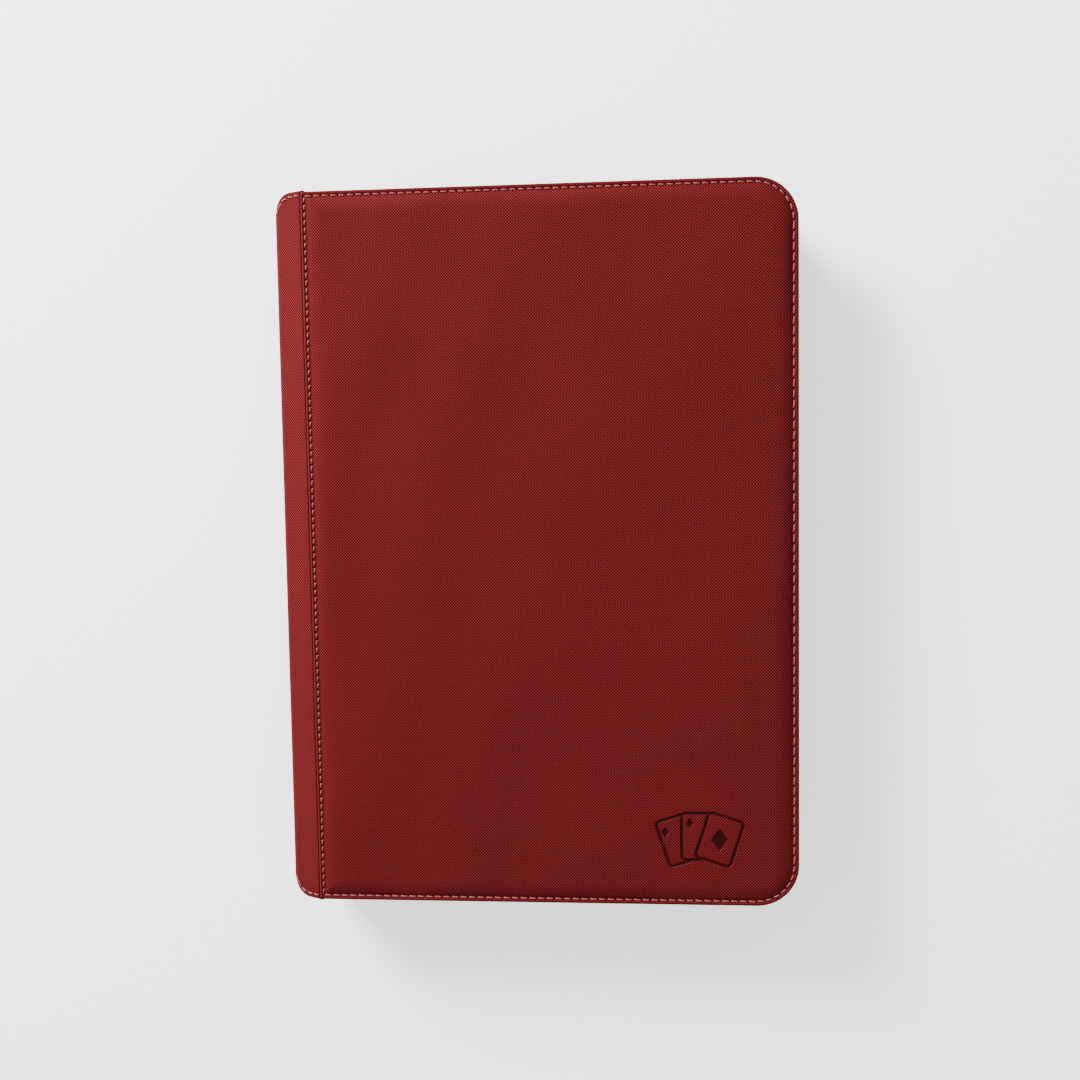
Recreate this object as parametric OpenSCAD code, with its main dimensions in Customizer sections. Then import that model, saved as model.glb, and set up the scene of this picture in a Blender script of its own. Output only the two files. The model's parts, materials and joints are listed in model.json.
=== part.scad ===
// Zip-round card binder with a folding spine and side-loading pocket pages.
// It lies closed on its back cover: +X runs from the spine to the fore-edge, +Y to the head, +Z up.
// The origin is the middle of the footprint, on the surface that the binder lies on.

/* [Binder] */
// Height of the covers, from tail to head
binder_h = 340; // [280:1:420]
// Width of a cover, from the spine seam to the fore-edge
panel_w = 230; // [180:1:280]
// Thickness of the closed binder over the padded covers
binder_t = 46; // [42:0.5:60]
// Radius of the cover corners at the fore-edge
corner_r = 20; // [12:1:40]

/* [Cover layers] */
// Thickness of the woven outer fabric
fabric_t = 0.9; // [0.6:0.1:1.5]
// Thickness of the foam under the outer fabric
foam_t = 2; // [1.5:0.1:3]
// Thickness of the stiffening board
board_t = 1.5; // [1:0.1:2.5]
// Thickness of the inside lining
lining_t = 0.6; // [0.4:0.1:1]
// How far the hem lies below the padded field
hem_drop = 2; // [1:0.1:2.5]
// Width of the flat hem before the padding starts to rise
hem_w = 3.5; // [3:0.1:6]
// Width of the slope from the hem up to the padded field
slope_w = 9; // [6:0.5:14]

/* [Spine] */
// Width of each slanted strip between the spine and a cover
strip_w = 17.5; // [10:0.5:20]
// Thickness of the board inside a slanted strip
strip_board_t = 1.1; // [0.8:0.1:1.5]
// Thickness of the board inside the spine
spine_board_t = 2; // [1.5:0.1:2.5]
// Radius that rounds the ends of the spine, seen from above
spine_corner_r = 8; // [5:0.5:10]
// How far a cover's folded edge laps over the slanted strip
lap_w = 1.4; // [1:0.1:2]
// Thickness of the lapping fold
lap_t = 0.8; // [0.6:0.1:1]

/* [Stitching] */
// Distance of the hem stitching from the cover's edge
stitch_inset = 2.4; // [2:0.1:3]
// Distance of the seam stitching from the spine seam
seam_stitch_inset = 1.1; // [0.8:0.1:2]
// Width of a sewing thread
thread_w = 0.5; // [0.3:0.1:0.8]
// Height of a sewing thread above the fabric
thread_h = 0.3; // [0.2:0.1:0.5]

/* [Zip] */
// How far the covers stand out past the zip wall
zip_inset = 5; // [4.8:0.1:7]
// Thickness of the zip tape
tape_t = 0.8; // [0.5:0.1:1]
// Thickness of the row of teeth across the tape
teeth_t = 2.2; // [1.8:0.1:2.6]
// Height of one row of teeth
teeth_h = 2.4; // [2:0.1:3]
// Gap between the two rows of teeth
teeth_gap = 1.2; // [1:0.1:1.6]
// Distance from the spine seam to the ends of the tapes
tape_start = 2.5; // [2:0.1:6]
// Length of the slider
slider_l = 10; // [8:0.5:14]
// Thickness of the slider's plates
slider_plate_t = 0.9; // [0.7:0.1:1.1]
// Length of the puller
puller_l = 24; // [15:1:40]
// Thickness of the puller
puller_t = 1.2; // [1:0.1:1.4]

/* [Pages] */
// Distance of the pages from the head and the tail of the covers
page_end_margin = 22; // [10:0.5:40]
// Thickness of the black middle sheet of a page
sheet_t = 0.24; // [0.2:0.02:0.26]
// Thickness of the clear pocket film
film_t = 0.1; // [0.08:0.01:0.12]
// Room in an empty pocket between the sheet and the film
pocket_gap = 0.08; // [0.06:0.01:0.1]
// Height of the outermost page's fold above the spine lining
fold_first = 6; // [5.5:0.5:8]
// Extra height of each next fold towards the middle of the book
fold_step = 0.95; // [0.9:0.05:1.1]
// Distance of the page edges from the fore-edge
page_margin = 9.5; // [8:0.5:20]
// Number of binding posts
post_count = 5; // [3:1:9]
// Radius of a binding post
post_r = 1.2; // [0.8:0.1:1.5]

/* [Hidden] */
$fn = 64;

// Colours
red_fabric = "#8a2626";
red_thread = "#b04848";
black_tape = "#1b1a1d";
black_lining = "#232226";
grey_board = "#6d6a66";
pale_foam = "#d8d2c4";
black_sheet = "#17171a";
steel = "#8f9096";

// Clearances
slide_gap = 0.3;
layer_gap = 0.2;
mitre_gap = 0.15;
tape_seat_gap = 0.2;
// How far pieces of one body reach into each other, so that no sliver of air is left
touch = 0.02;
// How far a cutting shape stands past what it cuts
past = 2;

// Cover stack and places along X and Z
stack_t = fabric_t + foam_t + board_t + lining_t;
slant = 30;
strip_run = strip_w * cos(slant);
strip_rise = strip_w * sin(slant);
total_w = panel_w + strip_run;
x_spine = -total_w / 2;
x_fore = total_w / 2;
x_seam = x_spine + strip_run;
y_end = binder_h / 2;
z_mid = binder_t / 2;
z_hinge = hem_drop + lap_t;
z_strip = z_hinge + strip_rise;
spine_t = fabric_t + spine_board_t + lining_t;
strip_t = fabric_t + strip_board_t + lining_t;
x_inner = x_spine + spine_t;
panel_start = x_seam + (stack_t - z_hinge) * tan(slant / 2) + mitre_gap;

// Hem layers, from the outer face inwards
z_field = fabric_t;
z_board = fabric_t + foam_t;
z_lining = stack_t - lining_t;
z_flange = z_lining - tape_t;
hem_inner = zip_inset + tape_t + layer_gap;
flange_start = 1.2;
slope_shift = 0.2;
board_set_back = 0.5;
hem_stitch_start = 3;

// Zip
tape_left = x_seam + tape_start;
teeth_set_back = 3;
teeth_left = tape_left + teeth_set_back;
teeth_bottom = z_mid - teeth_gap / 2 - teeth_h;
teeth_inset = zip_inset + tape_t / 2 - teeth_t / 2;
y_tape = -(y_end - zip_inset - tape_t / 2);
stop_l = 2.2;
stop_proud = 0.5;
slider_x = teeth_left + layer_gap;
slider_mid = slider_x + slider_l / 2;
plate_y = teeth_t / 2 + slide_gap;
web_t = teeth_gap / 2;
web_l = 3;
lip_t = 0.9;
lip_gap = slide_gap + 0.1;
lip_z = teeth_bottom - lip_gap - lip_t;
plate_over = 0.6;
plate_top = z_mid + teeth_gap / 2 + teeth_h + plate_over;
bridge_w = 2.4;
bridge_span = 6.4;
bridge_foot = 1;
bridge_t = 0.9;
bar_r = puller_t / 2;
pivot_y = y_tape - plate_y - slider_plate_t - slide_gap - bar_r;
arm_w = 1;
arm_gap = 0.4;
puller_w = 2 * (bridge_w / 2 + arm_gap + arm_w);
arm_past_bridge = 1.6;
tab_t = 2.4;
tab_w = 16;
tab_gap = 2;

// Pages, spread over the height of the spine's inner face
page_count = 20;
page_h = binder_h - 2 * page_end_margin;
spine_inner_h = binder_t - 2 * (z_strip + mitre_gap + spine_t * tan(slant));
page_pitch = spine_inner_h / (page_count - 0.4);
page_right = x_fore - page_margin;
fold_gap = 0.4;
film_fold_margin = 1;
film_edge_margin = 0.5;
spacer_set_back = 0.3;
cover_strip_t = 0.6;
head_r = 2;
head_t = 0.6;
post_gap = 0.1;
head_set_back = 0.6;
post_x = x_inner + fold_first - head_r - head_set_back;
post_margin = 20;

function fold_z(k) = z_mid + (k - (page_count + 1) / 2) * page_pitch;
function fold_d(k) = fold_first + fold_step * (min(k, page_count + 1 - k) - 1);
function fold_x(k) = x_inner + fold_d(k);

// Cover outline, drawn in from its three free edges, from x_left to the fore-edge
module cover_2d(inset, x_left) {
    r = corner_r - min(inset, corner_r - 2);
    y = y_end - inset;
    x = x_fore - inset;
    translate([x_left, -y])
        square([x - r - x_left, 2 * y]);
    translate([x - r - 1, r - y])
        square([r + 1, 2 * (y - r)]);
    for (side = [-1, 1])
        translate([x - r, side * (y - r)])
            circle(r);
}

// U-shaped band between two insets, open at the spine
module band_2d(inset_a, inset_b, x_left) {
    difference() {
        cover_2d(inset_a, x_left);
        cover_2d(inset_b, x_left - 1);
    }
}

// Slab with the cover's outline
module slab(inset, x_left, z0, z1) {
    translate([0, 0, z0])
        linear_extrude(z1 - z0)
            cover_2d(inset, x_left);
}

// Padded block whose outer face rises from the hem to the field
module padded_block(shift, x_left, z_low, z_high, z_top) {
    hull() {
        slab(hem_w + slope_w + shift, x_left + hem_w + slope_w, z_low, z_low + touch, $fn = 32);
        slab(hem_w + shift, x_left + hem_w, z_high, z_top, $fn = 32);
    }
}

// The front pieces are the back pieces, mirrored in the middle plane
module to_front() {
    translate([0, 0, binder_t])
        mirror([0, 0, 1])
            children();
}

// Prism along Y from a profile drawn in X and Z
module xz_prism(points, half_y) {
    translate([0, half_y, 0])
        rotate([90, 0, 0])
            linear_extrude(2 * half_y)
                polygon(points);
}

// Outer fabric of a cover: padded skin, hem, and the edge turned over the zip tape
module cover_fabric() {
    color(red_fabric) {
        difference() {
            union() {
                padded_block(0, x_seam, 0, hem_drop, z_board);
                slab(0, x_seam, hem_drop, z_flange);
            }
            padded_block(slope_shift, x_seam, z_field, z_board, z_board + past);
            slab(hem_inner, x_seam + hem_inner, z_board, stack_t + past);
            // clears the slanted strip at the seam
            translate([x_seam - 1, -binder_h, z_hinge])
                cube([1 + panel_start - x_seam, 2 * binder_h, stack_t]);
        }
        // folded edge that laps over the slanted strip
        translate([x_seam - lap_w, lap_w - y_end, hem_drop])
            cube([lap_w, binder_h - 2 * lap_w, lap_t - 0.1]);
        // edge turned over the tape
        translate([0, 0, z_flange])
            linear_extrude(tape_t)
                band_2d(0, flange_start - tape_seat_gap, panel_start);
        translate([0, 0, z_lining])
            linear_extrude(lining_t)
                band_2d(0, zip_inset - tape_seat_gap, panel_start);
    }
}

module cover_foam() {
    color(pale_foam)
        intersection() {
            padded_block(slope_shift, x_seam, z_field, z_board, z_board + touch);
            slab(hem_inner, x_seam + hem_inner, 0, z_board);
        }
}

module cover_board() {
    color(grey_board)
        slab(hem_inner + layer_gap, x_seam + hem_inner + layer_gap, z_board + touch, z_lining);
}

module cover_lining() {
    color(black_lining)
        slab(hem_inner, panel_start, z_lining, stack_t);
}

module hem_stitching() {
    color(red_thread)
        translate([0, 0, hem_drop - thread_h])
            linear_extrude(thread_h)
                band_2d(stitch_inset - thread_w / 2, stitch_inset + thread_w / 2,
                    x_seam + hem_stitch_start);
}

module seam_stitching() {
    seam_l = binder_h - 2 * stitch_inset;
    color(red_thread)
        translate([x_seam + seam_stitch_inset - thread_w / 2, -seam_l / 2, hem_drop - thread_h])
            cube([thread_w, seam_l, thread_h]);
}

// Plan outline that rounds the ends of the spine and its strips
module spine_plan(x_right) {
    r = spine_corner_r;
    translate([0, 0, -1])
        linear_extrude(binder_t + past) {
            translate([x_spine + r, -y_end])
                square([x_right - x_spine - r, binder_h]);
            translate([x_spine, r - y_end])
                square([r + 1, binder_h - 2 * r]);
            for (side = [-1, 1])
                translate([x_spine + r, side * (y_end - r)])
                    circle(r);
        }
}

// Point of the slanted strip: u runs from the seam to the spine, t goes inwards
function strip_point(u, t) = [
    x_seam - u * cos(slant) + t * sin(slant),
    z_hinge + u * sin(slant) + t * cos(slant)
];
function strip_u0(t) = t * tan(slant / 2) + mitre_gap;
function strip_u1(t) = strip_w - t * tan(slant) - mitre_gap;

// One layer of a slanted strip, between two depths
module strip_layer(t0, t1, set_back) {
    intersection() {
        xz_prism([
            strip_point(strip_u0(t0) + set_back, t0),
            strip_point(strip_u1(t0) - set_back, t0),
            strip_point(strip_u1(t1) - set_back, t1),
            strip_point(strip_u0(t1) + set_back, t1)
        ], y_end - set_back);
        spine_plan(x_seam + strip_t);
    }
}

module strip_fabric() {
    color(red_fabric)
        strip_layer(0, fabric_t, 0);
}

module strip_board() {
    color(grey_board)
        strip_layer(fabric_t, fabric_t + strip_board_t, board_set_back);
}

module strip_lining() {
    color(black_lining)
        strip_layer(fabric_t + strip_board_t, strip_t, 0);
}

// One layer of the upright spine, between two depths
module spine_layer(t0, t1, set_back) {
    z0 = z_strip + mitre_gap + set_back;
    z1 = binder_t - z0;
    intersection() {
        xz_prism([
            [x_spine + t0, z0 + t0 * tan(slant)],
            [x_spine + t1, z0 + t1 * tan(slant)],
            [x_spine + t1, z1 - t1 * tan(slant)],
            [x_spine + t0, z1 - t0 * tan(slant)]
        ], y_end - set_back);
        spine_plan(x_seam);
    }
}

module spine_fabric() {
    color(red_fabric)
        spine_layer(0, fabric_t, 0);
}

module spine_board() {
    color(grey_board)
        spine_layer(fabric_t, fabric_t + spine_board_t, board_set_back);
}

module spine_lining() {
    color(black_lining)
        spine_layer(fabric_t + spine_board_t, spine_t, 0);
}

// Holes for the binding posts
module post_holes() {
    for (i = [0 : post_count - 1])
        translate([post_x, post_y(i), 0])
            cylinder(r = post_r + post_gap, h = binder_t);
}

function post_y(i) = (i / (post_count - 1) - 0.5) * (page_h - 2 * post_margin);

// Strips between the page margins that keep the pages apart
module binding_spacers() {
    color(black_lining)
        difference() {
            for (k = [0 : page_count]) {
                first = k == 0;
                last = k == page_count;
                z0 = first ? fold_z(1) - sheet_t / 2 - cover_strip_t : fold_z(k) + sheet_t / 2;
                z1 = last ? fold_z(k) + sheet_t / 2 + cover_strip_t : fold_z(k + 1) - sheet_t / 2;
                d = min(fold_d(max(k, 1)), fold_d(min(k + 1, page_count))) - spacer_set_back;
                translate([x_inner, -page_h / 2, z0 + 0.01])
                    cube([d, page_h, z1 - z0 - 0.02]);
            }
            post_holes();
        }
}

// Bound margins of the pages, held between the spacers
module binding_margins() {
    color(black_sheet)
        difference() {
            for (k = [1 : page_count])
                translate([x_inner, -page_h / 2, fold_z(k) - sheet_t / 2])
                    cube([fold_d(k), page_h, sheet_t]);
            post_holes();
        }
}

// Posts that clamp the margins and spacers together
module binding_posts() {
    z0 = fold_z(1) - sheet_t / 2 - cover_strip_t;
    z1 = fold_z(page_count) + sheet_t / 2 + cover_strip_t;
    color(steel)
        for (i = [0 : post_count - 1])
            translate([post_x, post_y(i), 0]) {
                translate([0, 0, z0 - head_t])
                    cylinder(r = head_r, h = head_t);
                translate([0, 0, z0 - head_t / 2])
                    cylinder(r = post_r, h = z1 - z0 + head_t);
                translate([0, 0, z1])
                    cylinder(r = head_r, h = head_t);
            }
}

// Pocket page: a black sheet with a clear film along each face
module page(k) {
    x0 = fold_x(k) + fold_gap;
    film_z = sheet_t / 2 + pocket_gap;
    length = page_right - x0;
    color(black_sheet)
        translate([x0, -page_h / 2, fold_z(k) - sheet_t / 2])
            cube([length, page_h, sheet_t]);
    color("white", 0.4)
        for (z = [film_z, -film_z - film_t])
            translate([x0 + film_fold_margin, film_edge_margin - page_h / 2, fold_z(k) + z])
                cube([length - film_fold_margin - film_edge_margin, page_h - 2 * film_edge_margin,
                    film_t]);
}

// Zip tape: a flange sewn into the hem and a wall that stands up to the teeth
module zip_tape() {
    color(black_tape) {
        translate([0, 0, z_flange])
            linear_extrude(tape_t)
                band_2d(flange_start, zip_inset + tape_t, tape_left);
        translate([0, 0, z_lining])
            linear_extrude(teeth_bottom - z_lining)
                band_2d(zip_inset, zip_inset + tape_t, tape_left);
    }
}

// Row of zip teeth along the edge of a tape
module zip_teeth() {
    color(black_tape)
        translate([0, 0, teeth_bottom])
            linear_extrude(teeth_h)
                band_2d(teeth_inset, teeth_inset + teeth_t, teeth_left);
}

// Stops at both ends of a row of teeth
module zip_stops() {
    color(steel)
        for (side = [-1, 1])
            translate([teeth_left - stop_l, side * -y_tape - teeth_t / 2 - stop_proud / 2, teeth_bottom])
                cube([stop_l, teeth_t + stop_proud, teeth_h]);
}

// Fabric tab on the spine that covers an end of the zip
module end_tab(side) {
    tab_l = tape_left - x_inner - tab_gap;
    color(red_fabric)
        translate([x_inner, side * -y_tape - tab_t / 2, z_mid - tab_w / 2])
            cube([tab_l, tab_t, tab_w]);
}

// Slider: two plates joined by a web between the rows of teeth, with lips under the back row
module zip_slider() {
    color(steel) {
        for (side = [-1, 1]) {
            plate_at = side < 0 ? -plate_y - slider_plate_t : plate_y;
            lip_from = side < 0 ? -plate_y - 0.01 : tape_t / 2 + slide_gap;
            translate([slider_x, y_tape + plate_at, lip_z])
                cube([slider_l, slider_plate_t, plate_top - lip_z]);
            translate([slider_x, y_tape + lip_from, lip_z])
                cube([slider_l, plate_y - tape_t / 2 - slide_gap + 0.01, lip_t]);
        }
        translate([slider_x, y_tape - plate_y - 0.1, z_mid - web_t / 2])
            cube([web_l, 2 * plate_y + 0.2, web_t]);
        // bridge over the puller's bar
        for (side = [-1, 1])
            translate([slider_mid + side * (bridge_span - bridge_foot) / 2 - bridge_foot / 2,
                pivot_y - bar_r - slide_gap - bridge_t, z_mid - bridge_w / 2])
                cube([bridge_foot, bridge_t + puller_t + 2 * slide_gap + 0.1, bridge_w]);
        translate([slider_mid - bridge_span / 2, pivot_y - bar_r - slide_gap - bridge_t,
            z_mid - bridge_w / 2])
            cube([bridge_span, bridge_t, bridge_w]);
    }
}

// Puller: a bar under the bridge, two arms beside it and a rounded grip with a hole
module zip_puller() {
    arm_l = bridge_span / 2 + arm_past_bridge;
    grip_r = puller_w / 2;
    color(steel)
        translate([slider_mid, pivot_y, z_mid]) {
            translate([0, 0, -puller_w / 2])
                cylinder(r = bar_r, h = puller_w);
            for (side = [-1, 1])
                translate([0, -bar_r, side * (puller_w - arm_w) / 2 - arm_w / 2])
                    cube([arm_l, puller_t, arm_w]);
            translate([0, bar_r, 0])
                rotate([90, 0, 0])
                    linear_extrude(puller_t)
                        difference() {
                            union() {
                                translate([arm_l - 0.4, -grip_r])
                                    square([puller_l - grip_r - arm_l + 0.4, 2 * grip_r]);
                                translate([puller_l - grip_r, 0])
                                    circle(grip_r);
                            }
                            translate([puller_l - grip_r, 0])
                                circle(grip_r / 2);
                        }
        }
}

cover_fabric();  // back_fabric
cover_foam();  // back_foam
cover_board();  // back_board
cover_lining();  // back_lining
hem_stitching();  // back_hem_stitching
seam_stitching();  // back_seam_stitching
to_front() cover_fabric();  // front_fabric
to_front() cover_foam();  // front_foam
to_front() cover_board();  // front_board
to_front() cover_lining();  // front_lining
to_front() hem_stitching();  // front_hem_stitching
to_front() seam_stitching();  // front_seam_stitching
strip_fabric();  // back_strip_fabric
strip_board();  // back_strip_board
strip_lining();  // back_strip_lining
to_front() strip_fabric();  // front_strip_fabric
to_front() strip_board();  // front_strip_board
to_front() strip_lining();  // front_strip_lining
spine_fabric();
spine_board();
spine_lining();
binding_spacers();
binding_margins();
binding_posts();
zip_tape();  // zip_tape_back
zip_teeth();  // zip_teeth_back
zip_stops();  // zip_stops_back
to_front() zip_tape();  // zip_tape_front
to_front() zip_teeth();  // zip_teeth_front
to_front() zip_stops();  // zip_stops_front
end_tab(-1);  // zip_end_tab_tail
end_tab(1);  // zip_end_tab_head
zip_slider();
zip_puller();
page(1);  // page_01
page(2);  // page_02
page(3);  // page_03
page(4);  // page_04
page(5);  // page_05
page(6);  // page_06
page(7);  // page_07
page(8);  // page_08
page(9);  // page_09
page(10);  // page_10
page(11);  // page_11
page(12);  // page_12
page(13);  // page_13
page(14);  // page_14
page(15);  // page_15
page(16);  // page_16
page(17);  // page_17
page(18);  // page_18
page(19);  // page_19
page(20);  // page_20
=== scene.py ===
"""Looks of the zip-round card binder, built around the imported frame.

Lengths inside the script are millimetres in the frame's own axes: +X from the spine to the
fore-edge, +Y towards the head, +Z up. They turn into metres when an object is made.
"""

import json
import logging
import math
from dataclasses import dataclass, field
from enum import Enum
from functools import partial
from typing import Any, Callable, Sequence

import bmesh
import bpy
import numpy as np
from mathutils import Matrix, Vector
from mathutils.geometry import delaunay_2d_cdt


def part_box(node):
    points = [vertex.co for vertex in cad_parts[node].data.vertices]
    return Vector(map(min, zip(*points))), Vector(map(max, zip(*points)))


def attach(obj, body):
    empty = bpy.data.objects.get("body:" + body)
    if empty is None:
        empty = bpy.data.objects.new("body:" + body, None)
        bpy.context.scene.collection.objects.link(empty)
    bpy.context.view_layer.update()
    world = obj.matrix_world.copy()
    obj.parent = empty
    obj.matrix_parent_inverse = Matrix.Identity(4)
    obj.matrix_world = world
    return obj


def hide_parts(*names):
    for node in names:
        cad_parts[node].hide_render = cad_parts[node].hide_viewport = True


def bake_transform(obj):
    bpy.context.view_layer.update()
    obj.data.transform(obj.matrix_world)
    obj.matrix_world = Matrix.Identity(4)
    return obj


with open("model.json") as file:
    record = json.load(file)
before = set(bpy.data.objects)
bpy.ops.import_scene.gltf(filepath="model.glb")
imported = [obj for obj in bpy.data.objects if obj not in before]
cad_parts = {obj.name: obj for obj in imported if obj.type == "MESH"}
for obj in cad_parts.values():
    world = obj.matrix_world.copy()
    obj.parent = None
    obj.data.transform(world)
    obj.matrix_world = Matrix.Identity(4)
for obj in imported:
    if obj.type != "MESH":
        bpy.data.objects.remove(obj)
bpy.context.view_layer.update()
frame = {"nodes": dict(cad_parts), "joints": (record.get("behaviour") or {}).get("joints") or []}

MM = 0.001
CLOTH_UV = "cloth_mm"
WELD_GAP = 0.002
SPINE = "spine"
log = logging.getLogger("card_binder")

Colour = tuple[float, float, float, float]
Array = np.ndarray
AddNode = Callable[..., bpy.types.NodeSocket]


class Side(Enum):
    """The two covers, and the halves of the spine beside them."""

    BACK = "back"
    FRONT = "front"

    @property
    def cover(self) -> str:
        """The body that carries this cover."""
        return f"{self.value}_cover"

    @property
    def strip(self) -> str:
        """The body of the slanted strip beside this cover."""
        return f"{self.value}_strip"


# ---------------------------------------------------------------- colours and nodes


def srgb(hex_colour: str) -> Colour:
    """Turns a colour from sRGB hex to the linear values that a shader takes.

    Args:
        hex_colour: Six hex digits, without a hash.

    Returns:
        Linear red, green and blue, and an alpha of 1.
    """
    parts = [int(hex_colour[i:i + 2], 16) / 255 for i in (0, 2, 4)]
    linear = [c / 12.92 if c <= 0.04045 else ((c + 0.055) / 1.055) ** 2.4 for c in parts]
    return (linear[0], linear[1], linear[2], 1.0)


def add_node(
    tree: bpy.types.NodeTree, kind: str, inputs: dict[int | str, Any] | Sequence[Any] = (),
    out: int | str = 0, **settings: Any
) -> bpy.types.NodeSocket | None:
    """Adds a node with its settings, and sets or links its inputs.

    Args:
        tree: The tree that gets the node.
        kind: The node's type name without its ShaderNode prefix.
        inputs: Values or sockets, in the inputs' order or by name or number.
        out: The output to return.
        settings: Properties of the node by name.

    Returns:
        The chosen output socket, or None for a node without outputs.
    """
    made = tree.nodes.new("ShaderNode" + kind)
    for name, value in settings.items():
        setattr(made, name, value)
    pairs = inputs.items() if isinstance(inputs, dict) else enumerate(inputs)
    for key, value in pairs:
        if isinstance(value, bpy.types.NodeSocket):
            tree.links.new(value, made.inputs[key])
        else:
            made.inputs[key].default_value = value
    return made.outputs[out] if made.outputs else None


# ---------------------------------------------------------------- finishes


@dataclass(frozen=True)
class Finish:
    """A real material and how its surface was made. Subclasses draw its nodes."""

    name: str

    def material(self) -> bpy.types.Material:
        """Makes the Blender material once, and returns it after that.

        Returns:
            The material with its node tree in place.
        """
        kept = bpy.data.materials.get(self.name)
        if kept:
            return kept
        made = bpy.data.materials.new(self.name)
        made.use_nodes = True
        made.node_tree.nodes.clear()
        add = partial(add_node, made.node_tree)
        add("OutputMaterial", {"Surface": self.shade(add)})
        return made

    def shade(self, add: AddNode) -> bpy.types.NodeSocket:
        """Draws the finish with add and returns the shader's output."""
        raise NotImplementedError

    def place_in_frame(
        self, add: AddNode, stretch: tuple[float, float, float] = (1, 1, 1)
    ) -> bpy.types.NodeSocket:
        """Returns the place in the frame in millimetres, for pieces that move rigidly."""
        scale = tuple(s / MM for s in stretch)
        place = add("TexCoord", out="Object")
        return add("VectorMath", {0: place, 1: scale}, operation="MULTIPLY")


@dataclass(frozen=True)
class WovenPolyester(Finish):
    """Plain-woven polyester with a dull face.

    Each thread passes over and under its neighbours, so the eye sees a grid of small round
    floats in diagonal rows. The threads are one red, painted pale as lit where a warp thread
    lies on top, darker as shaded where the weft does, and dark as painted shade between them.
    The pile of fibres on the threads gives a faint sheen at a low angle. A hot stamp melts the
    fibres flat, so pressed lines are smoother than the weave round them; they are also painted
    darker as shade in the stamped grooves, as are the needle holes and the stitch groove.
    """

    # one red thread, painted as lit where the warp lies on top and as shaded where the weft does;
    # the gap colour is painted shade between the floats
    warp_lit: str = "802224"
    weft_shaded: str = "2b0103"
    gap: str = "0b0001"
    thread_mm: float = 0.70
    relief_mm: float = 0.10
    roughness: float = 0.78

    def shade(self, add: AddNode) -> bpy.types.NodeSocket:
        """Draws the weave, its irregular threads, the needle holes and the pressed lines."""
        place = add("UVMap", uv_map=CLOTH_UV)
        # threads wander by a few hundredths of a millimetre over a centimetre
        wander = add("TexNoise", {"Vector": place, "Scale": 1 / 9, "Detail": 1.0}, out=1)
        shifted = add("VectorMath", (wander, (0.5, 0.5, 0.0), place), operation="MULTIPLY_ADD")
        waves = []
        for axis in ("X", "Y"):
            at = add("SeparateXYZ", (shifted,), out=axis)
            turn = add("Math", (at, math.pi / self.thread_mm), operation="MULTIPLY")
            waves.append(add("Math", (turn,), operation="SINE"))
        over_under = add("Math", waves, operation="MULTIPLY")
        height = add("Math", (over_under,), operation="ABSOLUTE")
        dome = add("Math", (height, 0.5), operation="POWER")
        # painted light and shade: warp floats paler as lit, weft floats darker as shaded, gaps dark
        # as shade
        on_top = add("MapRange", (over_under, -0.45, 0.45, 0, 1), interpolation_type="SMOOTHSTEP")
        thread = add("Mix", {0: on_top, 6: srgb(self.weft_shaded), 7: srgb(self.warp_lit)}, out=2,
                     data_type="RGBA")
        shown = add("MapRange", (dome, 0.12, 0.8, 0, 1), interpolation_type="SMOOTHSTEP")
        cloth = add("Mix", {0: shown, 6: srgb(self.gap), 7: thread}, out=2, data_type="RGBA")
        # dye lots and handling: broad and streaky patches a few per cent apart
        blotch = add("TexNoise", {"Vector": place, "Scale": 1 / 60, "Detail": 2.0})
        patches = add("MapRange", (blotch, 0.3, 0.7, 0.96, 1.03))
        streaks = add("VectorMath", (place, (1.4, 0.03, 1.0)), operation="MULTIPLY")
        streak = add("TexNoise", {"Vector": streaks, "Scale": 1.0, "Detail": 2.0})
        bars = add("MapRange", (streak, 0.25, 0.75, 0.97, 1.02))
        dye = add("Math", (patches, bars), operation="MULTIPLY")
        # painted shade: the stamped lines, the needle holes and the stitch groove are darkened in
        # the colour
        pressed = add("Attribute", attribute_name="pressed", out="Fac")
        dented = add("Attribute", attribute_name="dented", out="Fac")
        needle = add("Math", (dented, 0.6), operation="MULTIPLY")
        dark = add("Math", (pressed, 0.72, needle), operation="MULTIPLY_ADD")
        left = add("Math", (1.0, dark), operation="SUBTRACT")
        tone = add("Math", (add("Math", (dye, left), operation="MULTIPLY"), 0.08),
                   operation="MAXIMUM")
        grey = add("CombineColor", (tone, tone, tone))
        colour = add("Mix", {0: 1.0, 6: cloth, 7: grey}, out=2, data_type="RGBA",
                     blend_type="MULTIPLY")
        flattened = add("Math", (pressed, -0.7, 1.0), operation="MULTIPLY_ADD")
        relief = add("Math", (dome, flattened), operation="MULTIPLY")
        normal = add("Bump", {"Height": relief, "Distance": self.relief_mm * MM, "Strength": 0.9})
        rough = add("Math", (pressed, -0.3, self.roughness), operation="MULTIPLY_ADD")
        return add("BsdfPrincipled", {
            "Base Color": colour, "Roughness": rough, "Normal": normal, "IOR": 1.5,
            "Specular IOR Level": 0.05, "Sheen Weight": 0.02, "Sheen Roughness": 0.45,
            "Sheen Tint": srgb("d04848"),
        })


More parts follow.
